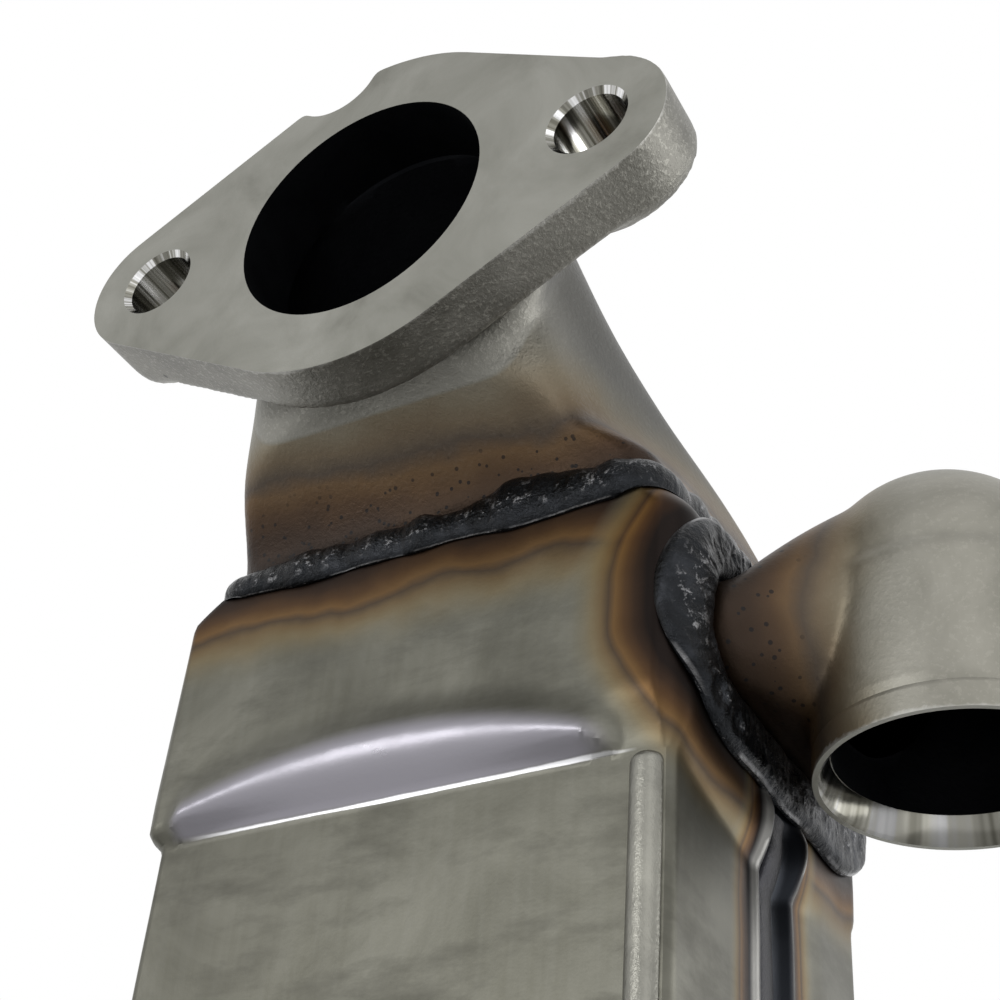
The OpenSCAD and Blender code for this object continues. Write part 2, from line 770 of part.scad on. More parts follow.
gas_inlet_elbow();
inlet_weld();
shell_front_half();
shell_rear_half();
seam_braze(1);  // seam_braze_right
seam_braze(-1);  // seam_braze_left
coolant_outlet_elbow();
coolant_outlet_weld();
coolant_inlet_elbow();
coolant_inlet_weld();
header_plate_top();
header_plate_bottom();
gas_tube(0);  // gas_tube_1
gas_tube(1);  // gas_tube_2
gas_tube(2);  // gas_tube_3
gas_tube(3);  // gas_tube_4
gas_tube(4);  // gas_tube_5
gas_tube(5);  // gas_tube_6
gas_tube(6);  // gas_tube_7
gas_fin(0);  // gas_fin_1
gas_fin(1);  // gas_fin_2
gas_fin(2);  // gas_fin_3
gas_fin(3);  // gas_fin_4
gas_fin(4);  // gas_fin_5
gas_fin(5);  // gas_fin_6
gas_fin(6);  // gas_fin_7
tube_support(0);  // tube_support_1
tube_support(1);  // tube_support_2
tube_support(2);  // tube_support_3
gas_outlet_cone();
outlet_weld();
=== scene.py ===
import bpy
import bmesh
import math
from mathutils import Vector, Matrix, noise


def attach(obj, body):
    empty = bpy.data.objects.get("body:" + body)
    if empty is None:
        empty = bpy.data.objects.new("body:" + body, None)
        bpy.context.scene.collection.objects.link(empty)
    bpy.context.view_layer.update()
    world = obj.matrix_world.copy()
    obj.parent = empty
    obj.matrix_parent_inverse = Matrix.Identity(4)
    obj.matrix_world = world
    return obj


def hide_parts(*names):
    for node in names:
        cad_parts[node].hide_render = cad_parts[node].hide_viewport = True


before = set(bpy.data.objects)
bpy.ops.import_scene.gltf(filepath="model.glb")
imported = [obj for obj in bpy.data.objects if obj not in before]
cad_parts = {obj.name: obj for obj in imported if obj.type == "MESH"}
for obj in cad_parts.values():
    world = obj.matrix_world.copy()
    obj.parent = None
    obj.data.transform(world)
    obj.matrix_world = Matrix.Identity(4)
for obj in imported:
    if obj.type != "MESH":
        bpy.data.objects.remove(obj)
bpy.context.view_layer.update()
scene = bpy.context.scene
scene.view_settings.view_transform = "Standard"
mm = 0.001

# sizes shared by the pieces, in millimetres, as in the solid model
body = {
    "rimZ": -50.0, "midZ": -249.0, "coreY": 68.0,
    "tankX": 47.6, "tankY": 37.0, "coreX": 45.5, "coreHalfY": 35.0,
    "footX": 41.0, "footY": 35.5, "footR": 5.0, "sheet": 1.5,
    "creaseZ": -97.4, "sideDrop": 7.4, "shoulder": 7.0,
    "lowZ": -525.0, "flangeT": 11.0, "neckY": 13.0,
}


# small helpers

def mix(a, b, t):
    return a + (b - a) * t


def clamp(t):
    return max(0.0, min(1.0, t))


def ease(a, b, x):
    t = clamp((x - a) / (b - a))
    return t * t * (3 - 2 * t)


def rough(x, y, z, size, seed=0.0):
    return noise.noise(Vector((x / size + seed, y / size - seed, z / size + seed * 0.7)))


def quarterPoint(t, hx, hy, rx, ry):
    # from (hx, 0) up the side, round the corner and in along the top to (0, hy)
    side = hy - ry
    arc = (rx + ry) * math.pi / 4
    total = side + arc + hx - rx
    d = t * total
    if d <= side:
        return hx, d
    if d <= side + arc:
        a = (d - side) / arc * math.pi / 2
        return hx - rx + rx * math.cos(a), hy - ry + ry * math.sin(a)
    return hx - rx - (d - side - arc), hy


def roundedPoint(u, hx, hy, low, high=None):
    # a rounded rectangle, anticlockwise; low and high are the corner radii of its lower and upper sides
    high = high or low
    q = int(u * 4) % 4
    t = u * 4 - int(u * 4)
    rx, ry = high if q < 2 else low
    x, y = quarterPoint(t if q % 2 == 0 else 1 - t, hx, hy, rx, ry)
    return (x if q in (0, 3) else -x), (y if q < 2 else -y)


def wrapGrid(around, along, place, mark=None):
    # a grid bent into shape: place(u, v) gives millimetres, mark(u, v) a value that the paint reads
    bm = bmesh.new()
    bmesh.ops.create_grid(bm, x_segments=around, y_segments=along, size=1.0)
    layer = bm.verts.layers.float.new("mark")
    for v in bm.verts:
        u, w = (v.co.x + 1) / 2, (v.co.y + 1) / 2
        v[layer] = mark(u, w) if mark else 0.0
        v.co = Vector(place(u, w)) * mm
    bmesh.ops.remove_doubles(bm, verts=bm.verts, dist=1e-6)
    return bm


def closeUp(bm):
    bmesh.ops.holes_fill(bm, edges=bm.edges, sides=0)
    bmesh.ops.recalc_face_normals(bm, faces=bm.faces)
    return bm


def turned(profile, segments=96):
    # spin a profile of (radius, height) in millimetres round Z
    bm = bmesh.new()
    verts = [bm.verts.new((r * mm, 0, z * mm)) for r, z in profile]
    edges = [bm.edges.new((verts[i], verts[i + 1])) for i in range(len(verts) - 1)]
    bmesh.ops.spin(bm, geom=verts + edges, cent=(0, 0, 0), axis=(0, 0, 1), angle=math.tau,
                   steps=segments, use_merge=True)
    bmesh.ops.remove_doubles(bm, verts=bm.verts, dist=1e-6)
    return closeUp(bm)


def placed(bm, matrix):
    bmesh.ops.transform(bm, matrix=matrix, verts=bm.verts)
    return bm


def toObject(bm, name):
    mesh = bpy.data.meshes.new(name)
    bm.to_mesh(mesh)
    bm.free()
    obj = bpy.data.objects.new(name, mesh)
    scene.collection.objects.link(obj)
    return obj


def joined(parts):
    # several closed shapes in one bmesh
    whole = bmesh.new()
    for part in parts:
        mesh = bpy.data.meshes.new("part")
        part.to_mesh(mesh)
        part.free()
        whole.from_mesh(mesh)
        bpy.data.meshes.remove(mesh)
    return whole


def bake(obj):
    # applies the modifiers
    graph = bpy.context.evaluated_depsgraph_get()
    done = bpy.data.meshes.new_from_object(obj.evaluated_get(graph))
    old = obj.data
    obj.modifiers.clear()
    obj.data = done
    bpy.data.meshes.remove(old)
    return obj


def castBody(bm, name, voxel, smooth, materials):
    # melts overlapping shapes into one casting with soft inner corners
    obj = toObject(bm, name)
    for material in materials:
        obj.data.materials.append(material)
    melt = obj.modifiers.new("melt", "REMESH")
    melt.mode = "VOXEL"
    melt.voxel_size = voxel * mm
    soft = obj.modifiers.new("soft", "SMOOTH")
    soft.factor = 0.5
    soft.iterations = smooth
    return bake(obj)


def cutOff(obj, point, normal, look=1):
    # a machined plane: what lies beyond it goes
    bm = bmesh.new()
    bm.from_mesh(obj.data)
    bmesh.ops.bisect_plane(bm, geom=bm.verts[:] + bm.edges[:] + bm.faces[:], dist=1e-7,
                           plane_co=Vector(point) * mm, plane_no=normal, clear_outer=True)
    rim = [e for e in bm.edges if len(e.link_faces) == 1]
    made = bmesh.ops.holes_fill(bm, edges=rim, sides=0)["faces"]
    for f in made:
        f.material_index = look
    bmesh.ops.triangulate(bm, faces=made)
    bm.to_mesh(obj.data)
    bm.free()


def carve(obj, cutter, look=0):
    # look is the material slot that the cut's own walls get
    for f in cutter.faces:
        f.material_index = look
    tool = toObject(cutter, "cutter")
    for material in obj.data.materials:
        tool.data.materials.append(material)
    cut = obj.modifiers.new("cut", "BOOLEAN")
    cut.operation = "DIFFERENCE"
    cut.solver = "EXACT"
    cut.object = tool
    bake(obj)
    bpy.data.objects.remove(tool)


def finishPiece(obj, material, node, sharp=32):
    for face in obj.data.polygons:
        face.use_smooth = True
    obj.data.set_sharp_from_angle(angle=math.radians(sharp))
    if material:
        obj.data.materials.clear()
        obj.data.materials.append(material)
    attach(obj, "root")
    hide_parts(node)
    print("piece", obj.name, len(obj.data.polygons))
    return obj


toLowEnd = Matrix.Translation((0, 0, 2 * body["midZ"] * mm))


def mirrored(obj, name):
    # the same piece at the other end of the core
    twin = bpy.data.objects.new(name, obj.data.copy())
    scene.collection.objects.link(twin)
    twin.data.transform(toLowEnd @ Matrix.Diagonal((1, 1, -1, 1)))
    twin.data.flip_normals()
    return twin


def turnedOver(obj, name):
    # the same piece on the left side at the other end of the core
    twin = bpy.data.objects.new(name, obj.data.copy())
    scene.collection.objects.link(twin)
    twin.data.transform(toLowEnd @ Matrix.Rotation(math.pi, 4, "Y"))
    return twin


# materials

def newMaterial(name):
    mat = bpy.data.materials.new(name)
    mat.use_nodes = True
    tree = mat.node_tree
    shader = tree.nodes["Principled BSDF"]
    return mat, tree, shader


def addNode(tree, kind, inputs=None, **values):
    n = tree.nodes.new(kind)
    for key, value in values.items():
        setattr(n, key, value)
    for key, value in (inputs or {}).items():
        if isinstance(value, bpy.types.NodeSocket):
            tree.links.new(value, n.inputs[key])
        else:
            n.inputs[key].default_value = value
    return n


def maths(tree, operation, a, b=None, clampIt=False):
    n = addNode(tree, "ShaderNodeMath", {0: a} if b is None else {0: a, 1: b}, operation=operation)
    n.use_clamp = clampIt
    return n.outputs[0]


def plus(tree, a, b, clampIt=False):
    return maths(tree, "ADD", a, b, clampIt)


def minus(tree, a, b, clampIt=False):
    return maths(tree, "SUBTRACT", a, b, clampIt)


def times(tree, a, b, clampIt=False):
    return maths(tree, "MULTIPLY", a, b, clampIt)


def scaled(tree, value, factor, extra, clampIt=False):
    return plus(tree, times(tree, value, factor), extra, clampIt)


def objectPlace(tree):
    return addNode(tree, "ShaderNodeTexCoord").outputs["Object"]


def channel(tree, colour, index=0):
    return addNode(tree, "ShaderNodeSeparateColor", {"Color": colour}).outputs[index]


def ramp(tree, value, stops):
    n = addNode(tree, "ShaderNodeValToRGB", {"Fac": value})
    band = n.color_ramp
    while len(band.elements) < len(stops):
        band.elements.new(0.5)
    for element, (place, colour) in zip(band.elements, stops):
        element.position = place
        element.color = (*colour, 1) if len(colour) == 3 else colour
    return n.outputs["Color"]


def blendColour(tree, factor, a, b, kind="MIX"):
    n = addNode(tree, "ShaderNodeMix", data_type="RGBA", blend_type=kind)
    for socket, value in ((n.inputs["Factor"], factor), (n.inputs[6], a), (n.inputs[7], b)):
        if isinstance(value, bpy.types.NodeSocket):
            tree.links.new(value, socket)
        elif isinstance(value, (int, float)):
            socket.default_value = value
        else:
            socket.default_value = (*value, 1)
    return n.outputs[2]


def grey(v):
    return (v, v, v)


def buildGrainGroup():
    # sand-cast or rolled skin: soft blotches, fine grain, dark specks
    g = bpy.data.node_groups.new("metalGrain", "ShaderNodeTree")
    for name, value in (("Blotch size", 60.0), ("Grain size", 1400.0)):
        socket = g.interface.new_socket(name, in_out="INPUT", socket_type="NodeSocketFloat")
        socket.default_value = value
    for name in ("Blotch", "Grain", "Specks", "Scratches"):
        g.interface.new_socket(name, in_out="OUTPUT", socket_type="NodeSocketFloat")
    inside = g.nodes.new("NodeGroupInput")
    out = g.nodes.new("NodeGroupOutput")
    place = objectPlace(g)
    blotch = addNode(g, "ShaderNodeTexNoise", {"Vector": place, "Scale": inside.outputs["Blotch size"], "Detail": 5.0,
                                               "Roughness": 0.62, "Distortion": 0.6})
    grain = addNode(g, "ShaderNodeTexNoise", {"Vector": place, "Scale": inside.outputs["Grain size"], "Detail": 3.0,
                                              "Roughness": 0.7})
    specks = addNode(g, "ShaderNodeTexVoronoi", {"Vector": place, "Scale": 95.0, "Randomness": 1.0})
    warp = addNode(g, "ShaderNodeTexNoise", {"Vector": place, "Scale": 23.0, "Detail": 2.0})
    dots = maths(g, "LESS_THAN", specks.outputs["Distance"], times(g, warp.outputs["Fac"], 0.085))
    few = maths(g, "GREATER_THAN", channel(g, specks.outputs["Color"]), 0.72)
    long = addNode(g, "ShaderNodeVectorMath", {0: place, 1: (1.0, 1.0, 0.045)}, operation="MULTIPLY")
    lines = addNode(g, "ShaderNodeTexNoise", {"Vector": long.outputs[0], "Scale": 700.0, "Detail": 2.0})
    g.links.new(blotch.outputs["Fac"], out.inputs["Blotch"])
    g.links.new(grain.outputs["Fac"], out.inputs["Grain"])
    g.links.new(times(g, dots, few), out.inputs["Specks"])
    g.links.new(lines.outputs["Fac"], out.inputs["Scratches"])
    return g


def buildTintGroup():
    # heat tint beside a weld: Distance in millimetres from the bead, wavered by noise
    g = bpy.data.node_groups.new("heatTint", "ShaderNodeTree")
    for name, value in (("Distance", 0.0), ("Reach", 14.0), ("Waver", 0.35)):
        socket = g.interface.new_socket(name, in_out="INPUT", socket_type="NodeSocketFloat")
        socket.default_value = value
    g.interface.new_socket("Colour", in_out="OUTPUT", socket_type="NodeSocketColor")
    g.interface.new_socket("Mask", in_out="OUTPUT", socket_type="NodeSocketFloat")
    inside = g.nodes.new("NodeGroupInput")
    out = g.nodes.new("NodeGroupOutput")
    place = objectPlace(g)
    wave = addNode(g, "ShaderNodeTexNoise", {"Vector": place, "Scale": 26.0, "Detail": 2.0, "Roughness": 0.45})
    fine = addNode(g, "ShaderNodeTexNoise", {"Vector": place, "Scale": 160.0, "Detail": 2.0})
    shift = plus(g, times(g, minus(g, wave.outputs["Fac"], 0.5), 2.0),
                  times(g, minus(g, fine.outputs["Fac"], 0.5), 0.3))
    share = plus(g, maths(g, "DIVIDE", inside.outputs["Distance"], inside.outputs["Reach"]),
                  times(g, shift, inside.outputs["Waver"]))
    colour = ramp(g, share, [
        (0.0, (0.008, 0.005, 0.004)), (0.14, (0.025, 0.012, 0.006)), (0.26, (0.058, 0.027, 0.009)),
        (0.37, (0.115, 0.058, 0.016)), (0.45, (0.045, 0.024, 0.011)), (0.54, (0.115, 0.07, 0.025)),
        (0.67, (0.16, 0.118, 0.055)), (0.84, (0.15, 0.132, 0.086)), (1.0, (0.13, 0.125, 0.1))])
    mask = ramp(g, share, [(0.0, grey(1)), (0.3, grey(0.92)), (0.6, grey(0.7)), (1.0, grey(0))])
    g.links.new(colour, out.inputs["Colour"])
    g.links.new(channel(g, mask), out.inputs["Mask"])
    return g


grainGroup = buildGrainGroup()
tintGroup = buildTintGroup()


def useGroup(tree, group, values):
    n = addNode(tree, "ShaderNodeGroup", node_tree=group)
    for key, value in values.items():
        if isinstance(value, bpy.types.NodeSocket):
            tree.links.new(value, n.inputs[key])
        else:
            n.inputs[key].default_value = value
    return n


def axes(tree):
    place = objectPlace(tree)
    split = addNode(tree, "ShaderNodeSeparateXYZ", {"Vector": place})
    return [times(tree, split.outputs[i], 1000.0) for i in range(3)]


def ringDistance(tree, u, v, hu, hv, r):
    # distance outward of a rounded rectangle in the plane of u and v
    du = minus(tree, maths(tree, "ABSOLUTE", u), hu - r)
    dv = minus(tree, maths(tree, "ABSOLUTE", v), hv - r)
    mu = maths(tree, "MAXIMUM", du, 0.0)
    mv = maths(tree, "MAXIMUM", dv, 0.0)
    far = maths(tree, "SQRT", plus(tree, times(tree, mu, mu), times(tree, mv, mv)))
    inside = maths(tree, "MINIMUM", maths(tree, "MAXIMUM", du, dv), 0.0)
    return minus(tree, plus(tree, far, inside), r)


castLook = {"dark": (0.105, 0.102, 0.087), "light": (0.252, 0.247, 0.221), "worn": (0.46, 0.455, 0.43),
            "portDark": (0.175, 0.17, 0.142), "portLight": (0.315, 0.305, 0.265)}
# for each casting, where its weld ends and where its machined face lies
castEnds = {"inlet": (-46.0, 0.0), "outlet": (-451.0, -525.0), "port": (50.5, -92.6), "portLow": (-50.5, -405.4)}


def metalSurface(tree, shader, colour, roughness, height, bumpStrength, metallic, depth=0.0004):
    tree.links.new(colour, shader.inputs["Base Color"])
    shader.inputs["Metallic"].default_value = metallic
    tree.links.new(roughness, shader.inputs["Roughness"])
    bump = addNode(tree, "ShaderNodeBump", {"Height": height, "Strength": bumpStrength, "Distance": depth})
    tree.links.new(bump.outputs["Normal"], shader.inputs["Normal"])


def spatterAt(tree):
    place = objectPlace(tree)
    drops = addNode(tree, "ShaderNodeTexVoronoi", {"Vector": place, "Scale": 800.0})
    some = channel(tree, drops.outputs["Color"], 1)
    return times(tree, maths(tree, "LESS_THAN", drops.outputs["Distance"], 0.3),
                 maths(tree, "GREATER_THAN", some, 0.7))


def castMaterial(name, end):
    # end: "inlet", "outlet", "port" or "portLow", which sets where the weld's heat has tinted the skin
    mat, tree, shader = newMaterial(name)
    x, y, z = axes(tree)
    g = useGroup(tree, grainGroup, {"Blotch size": 48.0, "Grain size": 1150.0})
    isPort = end.startswith("port")
    dark, light = (castLook["portDark"], castLook["portLight"]) if isPort else (castLook["dark"], castLook["light"])
    base = ramp(tree, g.outputs["Blotch"], [(0.3, dark), (0.7, light)])
    glints = maths(tree, "GREATER_THAN", g.outputs["Grain"], 0.58)
    base = blendColour(tree, times(tree, glints, 0.12 if isPort else 0.4), base,
                       tuple(c * 1.5 for c in light))
    if end == "inlet":
        # the right wall is darkened with painted shade, and the front facet has been blasted bright
        beyond = maths(tree, "DIVIDE", minus(tree, y, 15.0), 5.0, True)
        rise = plus(tree, z, 44.0)
        ridgeX = minus(tree, 29.0, times(tree, rise, 0.25))
        right = maths(tree, "DIVIDE", minus(tree, x, ridgeX), 7.0, True)
        front = maths(tree, "DIVIDE", minus(tree, 34.0, y), 8.0, True)
        high = maths(tree, "DIVIDE", rise, 10.0, True)
        blasted = times(tree, times(tree, front, high), beyond)
        base = blendColour(tree, times(tree, blasted, 0.6), base, tuple(c * 1.35 for c in light))
        # painted shade: the right wall is blended towards a dark colour
        base = blendColour(tree, times(tree, times(tree, right, beyond), 0.85), base,
                           tuple(c * 0.24 for c in light))
    # away is the distance from the weld, edge the distance from the machined face
    weldAt, faceAt = castEnds[end]
    if end == "port":
        away, edge = minus(tree, x, weldAt), minus(tree, z, faceAt)
    elif end == "portLow":
        away, edge = minus(tree, weldAt, x), minus(tree, faceAt, z)
    elif end == "outlet":
        away, edge = minus(tree, weldAt, z), minus(tree, z, faceAt)
    else:
        # the flange itself has no tint
        away = plus(tree, minus(tree, z, weldAt), times(tree, minus(tree, 1.0, beyond), 60.0))
        edge = y
    tint = useGroup(tree, tintGroup, {"Distance": away, "Reach": 26.0 if isPort else 27.0, "Waver": 0.34})
    colour = blendColour(tree, tint.outputs["Mask"], base, tint.outputs["Colour"])
    burnt = minus(tree, 1.0, maths(tree, "DIVIDE", away, 19.0 if isPort else 15.0), True)
    patchy = plus(tree, times(tree, g.outputs["Blotch"], 0.8), 0.25 if isPort else 0.0, True)
    colour = blendColour(tree, times(tree, burnt, patchy), colour, (0.026, 0.013, 0.005))
    # drops of black spatter lie on the tinted skin
    near = channel(tree, ramp(tree, maths(tree, "DIVIDE", away, 14.0), [(0.0, grey(1)), (0.5, grey(0.8)),
                                                                        (0.8, grey(0))]))
    colour = blendColour(tree, times(tree, spatterAt(tree), near), colour, (0.006, 0.005, 0.005))
    # the sharp rim of the machined face is worn bright
    rub = times(tree, minus(tree, g.outputs["Blotch"], 0.38), 8.0)
    wear = minus(tree, times(tree, g.outputs["Grain"], maths(tree, "MAXIMUM", rub, 0.6)), edge)
    wear = times(tree, scaled(tree, wear, 1.6, 0.1, True), 0.7)
    colour = blendColour(tree, wear, colour, castLook["worn"])
    colour = blendColour(tree, times(tree, g.outputs["Specks"], 0.85), colour, (0.012, 0.011, 0.01))
    height = plus(tree, times(tree, g.outputs["Grain"], 0.25 if isPort else 0.8),
                   times(tree, g.outputs["Blotch"], 0.5))
    metalSurface(tree, shader, colour, scaled(tree, g.outputs["Blotch"], 0.25, 0.3), height, 0.55, 0.7)
    return mat


def faceMaterial():
    # a face-milled surface with faint stains
    mat, tree, shader = newMaterial("machinedFace")
    g = useGroup(tree, grainGroup, {"Blotch size": 44.0, "Grain size": 1500.0})
    base = ramp(tree, g.outputs["Blotch"], [(0.26, (0.155, 0.153, 0.13)), (0.44, (0.225, 0.224, 0.196)),
                                            (0.72, (0.30, 0.298, 0.268))])
    colour = blendColour(tree, times(tree, g.outputs["Specks"], 0.5), base, (0.05, 0.048, 0.045))
    metalSurface(tree, shader, colour, scaled(tree, g.outputs["Blotch"], 0.2, 0.34), g.outputs["Grain"], 0.14, 0.75)
    return mat


def sootMaterial():
    mat, tree, shader = newMaterial("sootedBore")
    g = useGroup(tree, grainGroup, {"Blotch size": 80.0, "Grain size": 1500.0})
    base = ramp(tree, g.outputs["Blotch"], [(0.3, (0.002, 0.0024, 0.0034)), (0.75, (0.006, 0.0065, 0.008))])
    metalSurface(tree, shader, base, scaled(tree, g.outputs["Blotch"], 0.2, 0.5), g.outputs["Grain"], 0.3, 0.9)
    return mat


def boredMaterial(name, axis, middle, stripes, shine):
    # a reamed wall: bright and dark streaks along the hole, told by the direction from its middle; the bright streaks
    # are partly reaming marks and partly painted reflection
    mat, tree, shader = newMaterial(name)
    place = objectPlace(tree)
    split = addNode(tree, "ShaderNodeSeparateXYZ", {"Vector": place})
    across = minus(tree, maths(tree, "ABSOLUTE", split.outputs[0]), middle[0] * mm)
    other = minus(tree, split.outputs[axis], middle[1] * mm)
    ray = addNode(tree, "ShaderNodeCombineXYZ", {"X": across, "Y": other, "Z": 0.0})
    way = addNode(tree, "ShaderNodeVectorMath", {0: ray.outputs[0]}, operation="NORMALIZE")
    streak = addNode(tree, "ShaderNodeTexNoise", {"Vector": way.outputs[0], "Scale": stripes, "Detail": 3.0,
                                                  "Roughness": 0.65})
    base = ramp(tree, streak.outputs["Fac"], [(0.4, (0.1, 0.097, 0.08)), (0.52, (0.26, 0.255, 0.225)),
                                              (0.58, grey(0.8 * shine)), (0.66, grey(shine))])
    metalSurface(tree, shader, base, times(tree, streak.outputs["Fac"], 0.35), streak.outputs["Fac"], 0.3, 1.0)
    return mat


shellLook = {"dark": (0.07, 0.068, 0.052), "light": (0.15, 0.147, 0.122), "scratch": (0.2, 0.2, 0.18),
             "stain": (0.075, 0.073, 0.06), "polishedAndLit": (0.265, 0.257, 0.285)}


def shellMaterial():
    mat, tree, shader = newMaterial("shellSheet")
    x, y, z = axes(tree)
    g = useGroup(tree, grainGroup, {"Blotch size": 38.0, "Grain size": 1900.0})
    base = ramp(tree, g.outputs["Blotch"], [(0.3, shellLook["dark"]), (0.7, shellLook["light"])])
    base = blendColour(tree, times(tree, g.outputs["Scratches"], 0.22), base, shellLook["scratch"])
    place = objectPlace(tree)
    wide = addNode(tree, "ShaderNodeVectorMath", {0: place, 1: (0.6, 0.6, 1.6)}, operation="MULTIPLY")
    smudge = addNode(tree, "ShaderNodeTexNoise", {"Vector": wide.outputs[0], "Scale": 60.0, "Detail": 7.0,
                                                  "Roughness": 0.66})
    smudged = channel(tree, ramp(tree, smudge.outputs["Fac"], [(0.48, grey(0)), (0.68, grey(0.75))]))
    base = blendColour(tree, smudged, base, shellLook["stain"])
    # painted reflection: the burnished facet gets a lighter lilac colour as well as a lower roughness
    polishAndSheen = addNode(tree, "ShaderNodeAttribute", attribute_name="mark").outputs["Fac"]
    base = blendColour(tree, polishAndSheen, base, shellLook["polishedAndLit"])
    rightTop = times(tree, x, maths(tree, "SIGN", minus(tree, z, body["midZ"])))
    # distance down from the inlet weld, and from the outlet weld
    fromEnd = minus(tree, body["rimZ"] - body["midZ"], maths(tree, "ABSOLUTE", minus(tree, z, body["midZ"])))
    rimTint = useGroup(tree, tintGroup, {"Distance": minus(tree, fromEnd, 2.5), "Reach": 19.0,
                                         "Waver": 0.4})
    # distance from the weld of the coolant casting, right at the top and left at the bottom
    portZ = minus(tree, fromEnd, 22.3)
    ring = ringDistance(tree, minus(tree, y, body["coreY"]), portZ, 39.0, 20.0, 16.0)
    wrap = maths(tree, "MAXIMUM", minus(tree, 44.0, rightTop), 0.0)
    portTint = useGroup(tree, tintGroup, {"Distance": plus(tree, ring, wrap), "Reach": 14.0, "Waver": 0.2})
    # the seam's lips
    seam = maths(tree, "ABSOLUTE", minus(tree, y, body["coreY"]))
    seamTint = useGroup(tree, tintGroup, {"Distance": minus(tree, seam, 8.6), "Reach": 7.0, "Waver": 0.3})
    onCore = maths(tree, "GREATER_THAN", fromEnd, 38.0)
    colour = blendColour(tree, rimTint.outputs["Mask"], base, rimTint.outputs["Colour"])
    colour = blendColour(tree, portTint.outputs["Mask"], colour, portTint.outputs["Colour"])
    colour = blendColour(tree, times(tree, seamTint.outputs["Mask"], onCore), colour,
                         seamTint.outputs["Colour"])
    # the rolled lips get a painted highlight along their crests, and the trough between them is blue black
    bands = ((((0.62, 0), (0.7, 0.8), (0.78, 0.8), (0.86, 0)), (0.26, 0.257, 0.245)),
             (((0.0, 1), (0.56, 1), (0.63, 0.5), (0.7, 0), (0.78, 0), (0.85, 0.5), (0.9, 0)), (0.012, 0.014, 0.018)))
    for stops, look in bands:
        level = channel(tree, ramp(tree, maths(tree, "DIVIDE", seam, 10.0), [(at, grey(much)) for at, much in stops]))
        colour = blendColour(tree, times(tree, level, onCore), colour, look)
    colour = blendColour(tree, times(tree, g.outputs["Specks"], 0.75), colour, (0.035, 0.03, 0.028))
    # a painted highlight: a thin bright line along the crease across the front
    off = maths(tree, "ABSOLUTE", minus(tree, fromEnd, body["rimZ"] - body["creaseZ"] + 0.15))
    thin = minus(tree, times(tree, smudge.outputs["Fac"], 0.95), 0.12)
    creaseHighlight = maths(tree, "DIVIDE", minus(tree, thin, off), 0.2, True)
    creaseHighlight = times(tree, creaseHighlight, maths(tree, "LESS_THAN", y, 34.0))
    sides = minus(tree, 1.0, maths(tree, "DIVIDE", maths(tree, "ABSOLUTE", x), 40.0), True)
    creaseHighlight = times(tree, creaseHighlight, times(tree, sides, 4.0, True))
    colour = blendColour(tree, creaseHighlight, colour, (0.8, 0.8, 0.82))
    height = plus(tree, times(tree, g.outputs["Blotch"], 0.6),
                   times(tree, g.outputs["Grain"], 0.12))
    dull = scaled(tree, g.outputs["Blotch"], 0.22, 0.27)
    dull = plus(tree, dull, times(tree, smudged, 0.12))
    metalSurface(tree, shader, colour, minus(tree, dull, times(tree, polishAndSheen, 0.08)), height, 0.3, 0.88)
    return mat


def weldMaterial():
    # slate grey beads: crusty and silvery along the middle, with a thin bright line at the lower toe
    mat, tree, shader = newMaterial("weldBead")
    place = objectPlace(tree)
    g = useGroup(tree, grainGroup, {"Blotch size": 130.0, "Grain size": 900.0})
    base = ramp(tree, g.outputs["Blotch"], [(0.3, (0.003, 0.0034, 0.004)), (0.55, (0.011, 0.0125, 0.015)),
                                            (0.78, (0.034, 0.037, 0.043))])
    chips = addNode(tree, "ShaderNodeTexNoise", {"Vector": place, "Scale": 520.0, "Detail": 4.0, "Roughness": 0.75})
    mark = addNode(tree, "ShaderNodeAttribute", attribute_name="mark").outputs["Fac"]
    middle = ramp(tree, mark, [(0.22, grey(0)), (0.42, grey(1)), (0.6, grey(1)), (0.8, grey(0))])
    toe = ramp(tree, mark, [(0.925, grey(0)), (0.955, grey(1)), (0.985, grey(1)), (1.0, grey(0.3))])
    gaps = addNode(tree, "ShaderNodeTexNoise", {"Vector": place, "Scale": 90.0, "Detail": 3.0})
    colour = base
    for patches, low, high, band, share, look in ((chips, 0.56, 0.64, middle, 0.75, (0.3, 0.3, 0.31)),
                                                  (gaps, 0.46, 0.56, toe, 0.6, (0.4, 0.4, 0.41))):
        lit = ramp(tree, patches.outputs["Fac"], [(low, grey(0)), (high, grey(1))])
        level = channel(tree, blendColour(tree, 1.0, lit, band, "MULTIPLY"))
        colour = blendColour(tree, times(tree, level, share), colour, look)
    metalSurface(tree, shader, colour, scaled(tree, g.outputs["Blotch"], 0.3, 0.16), chips.outputs["Fac"], 0.7, 0.8,
                 0.0007)
    return mat


def plainMetal(name, colour, roughness):
    mat, tree, shader = newMaterial(name)
    g = useGroup(tree, grainGroup, {"Blotch size": 90.0, "Grain size": 1500.0})
    base = ramp(tree, g.outputs["Blotch"], [(0.3, tuple(c * 0.6 for c in colour)), (0.7, colour)])
    metalSurface(tree, shader, base, scaled(tree, g.outputs["Blotch"], 0.2, roughness), g.outputs["Grain"], 0.3, 0.8)
    return mat


inletCast = castMaterial("inletCasting", "inlet")
outletCast = castMaterial("outletCasting", "outlet")
portCast = castMaterial("coolantCasting", "port")
portLowCast = castMaterial("coolantCastingLow", "portLow")
shellSheet = shellMaterial()
weldBead = weldMaterial()
machined = faceMaterial()
sooted = sootMaterial()
reamed = boredMaterial("reamedHole", 2, (44.0, 0.0), 2.6, 0.85)
reamedLow = boredMaterial("reamedHoleLow", 1, (44.0, 68.0), 2.6, 0.85)
mouthRing = boredMaterial("turnedMouth", 1, (76.5, 68.0), 3.0, 0.36)
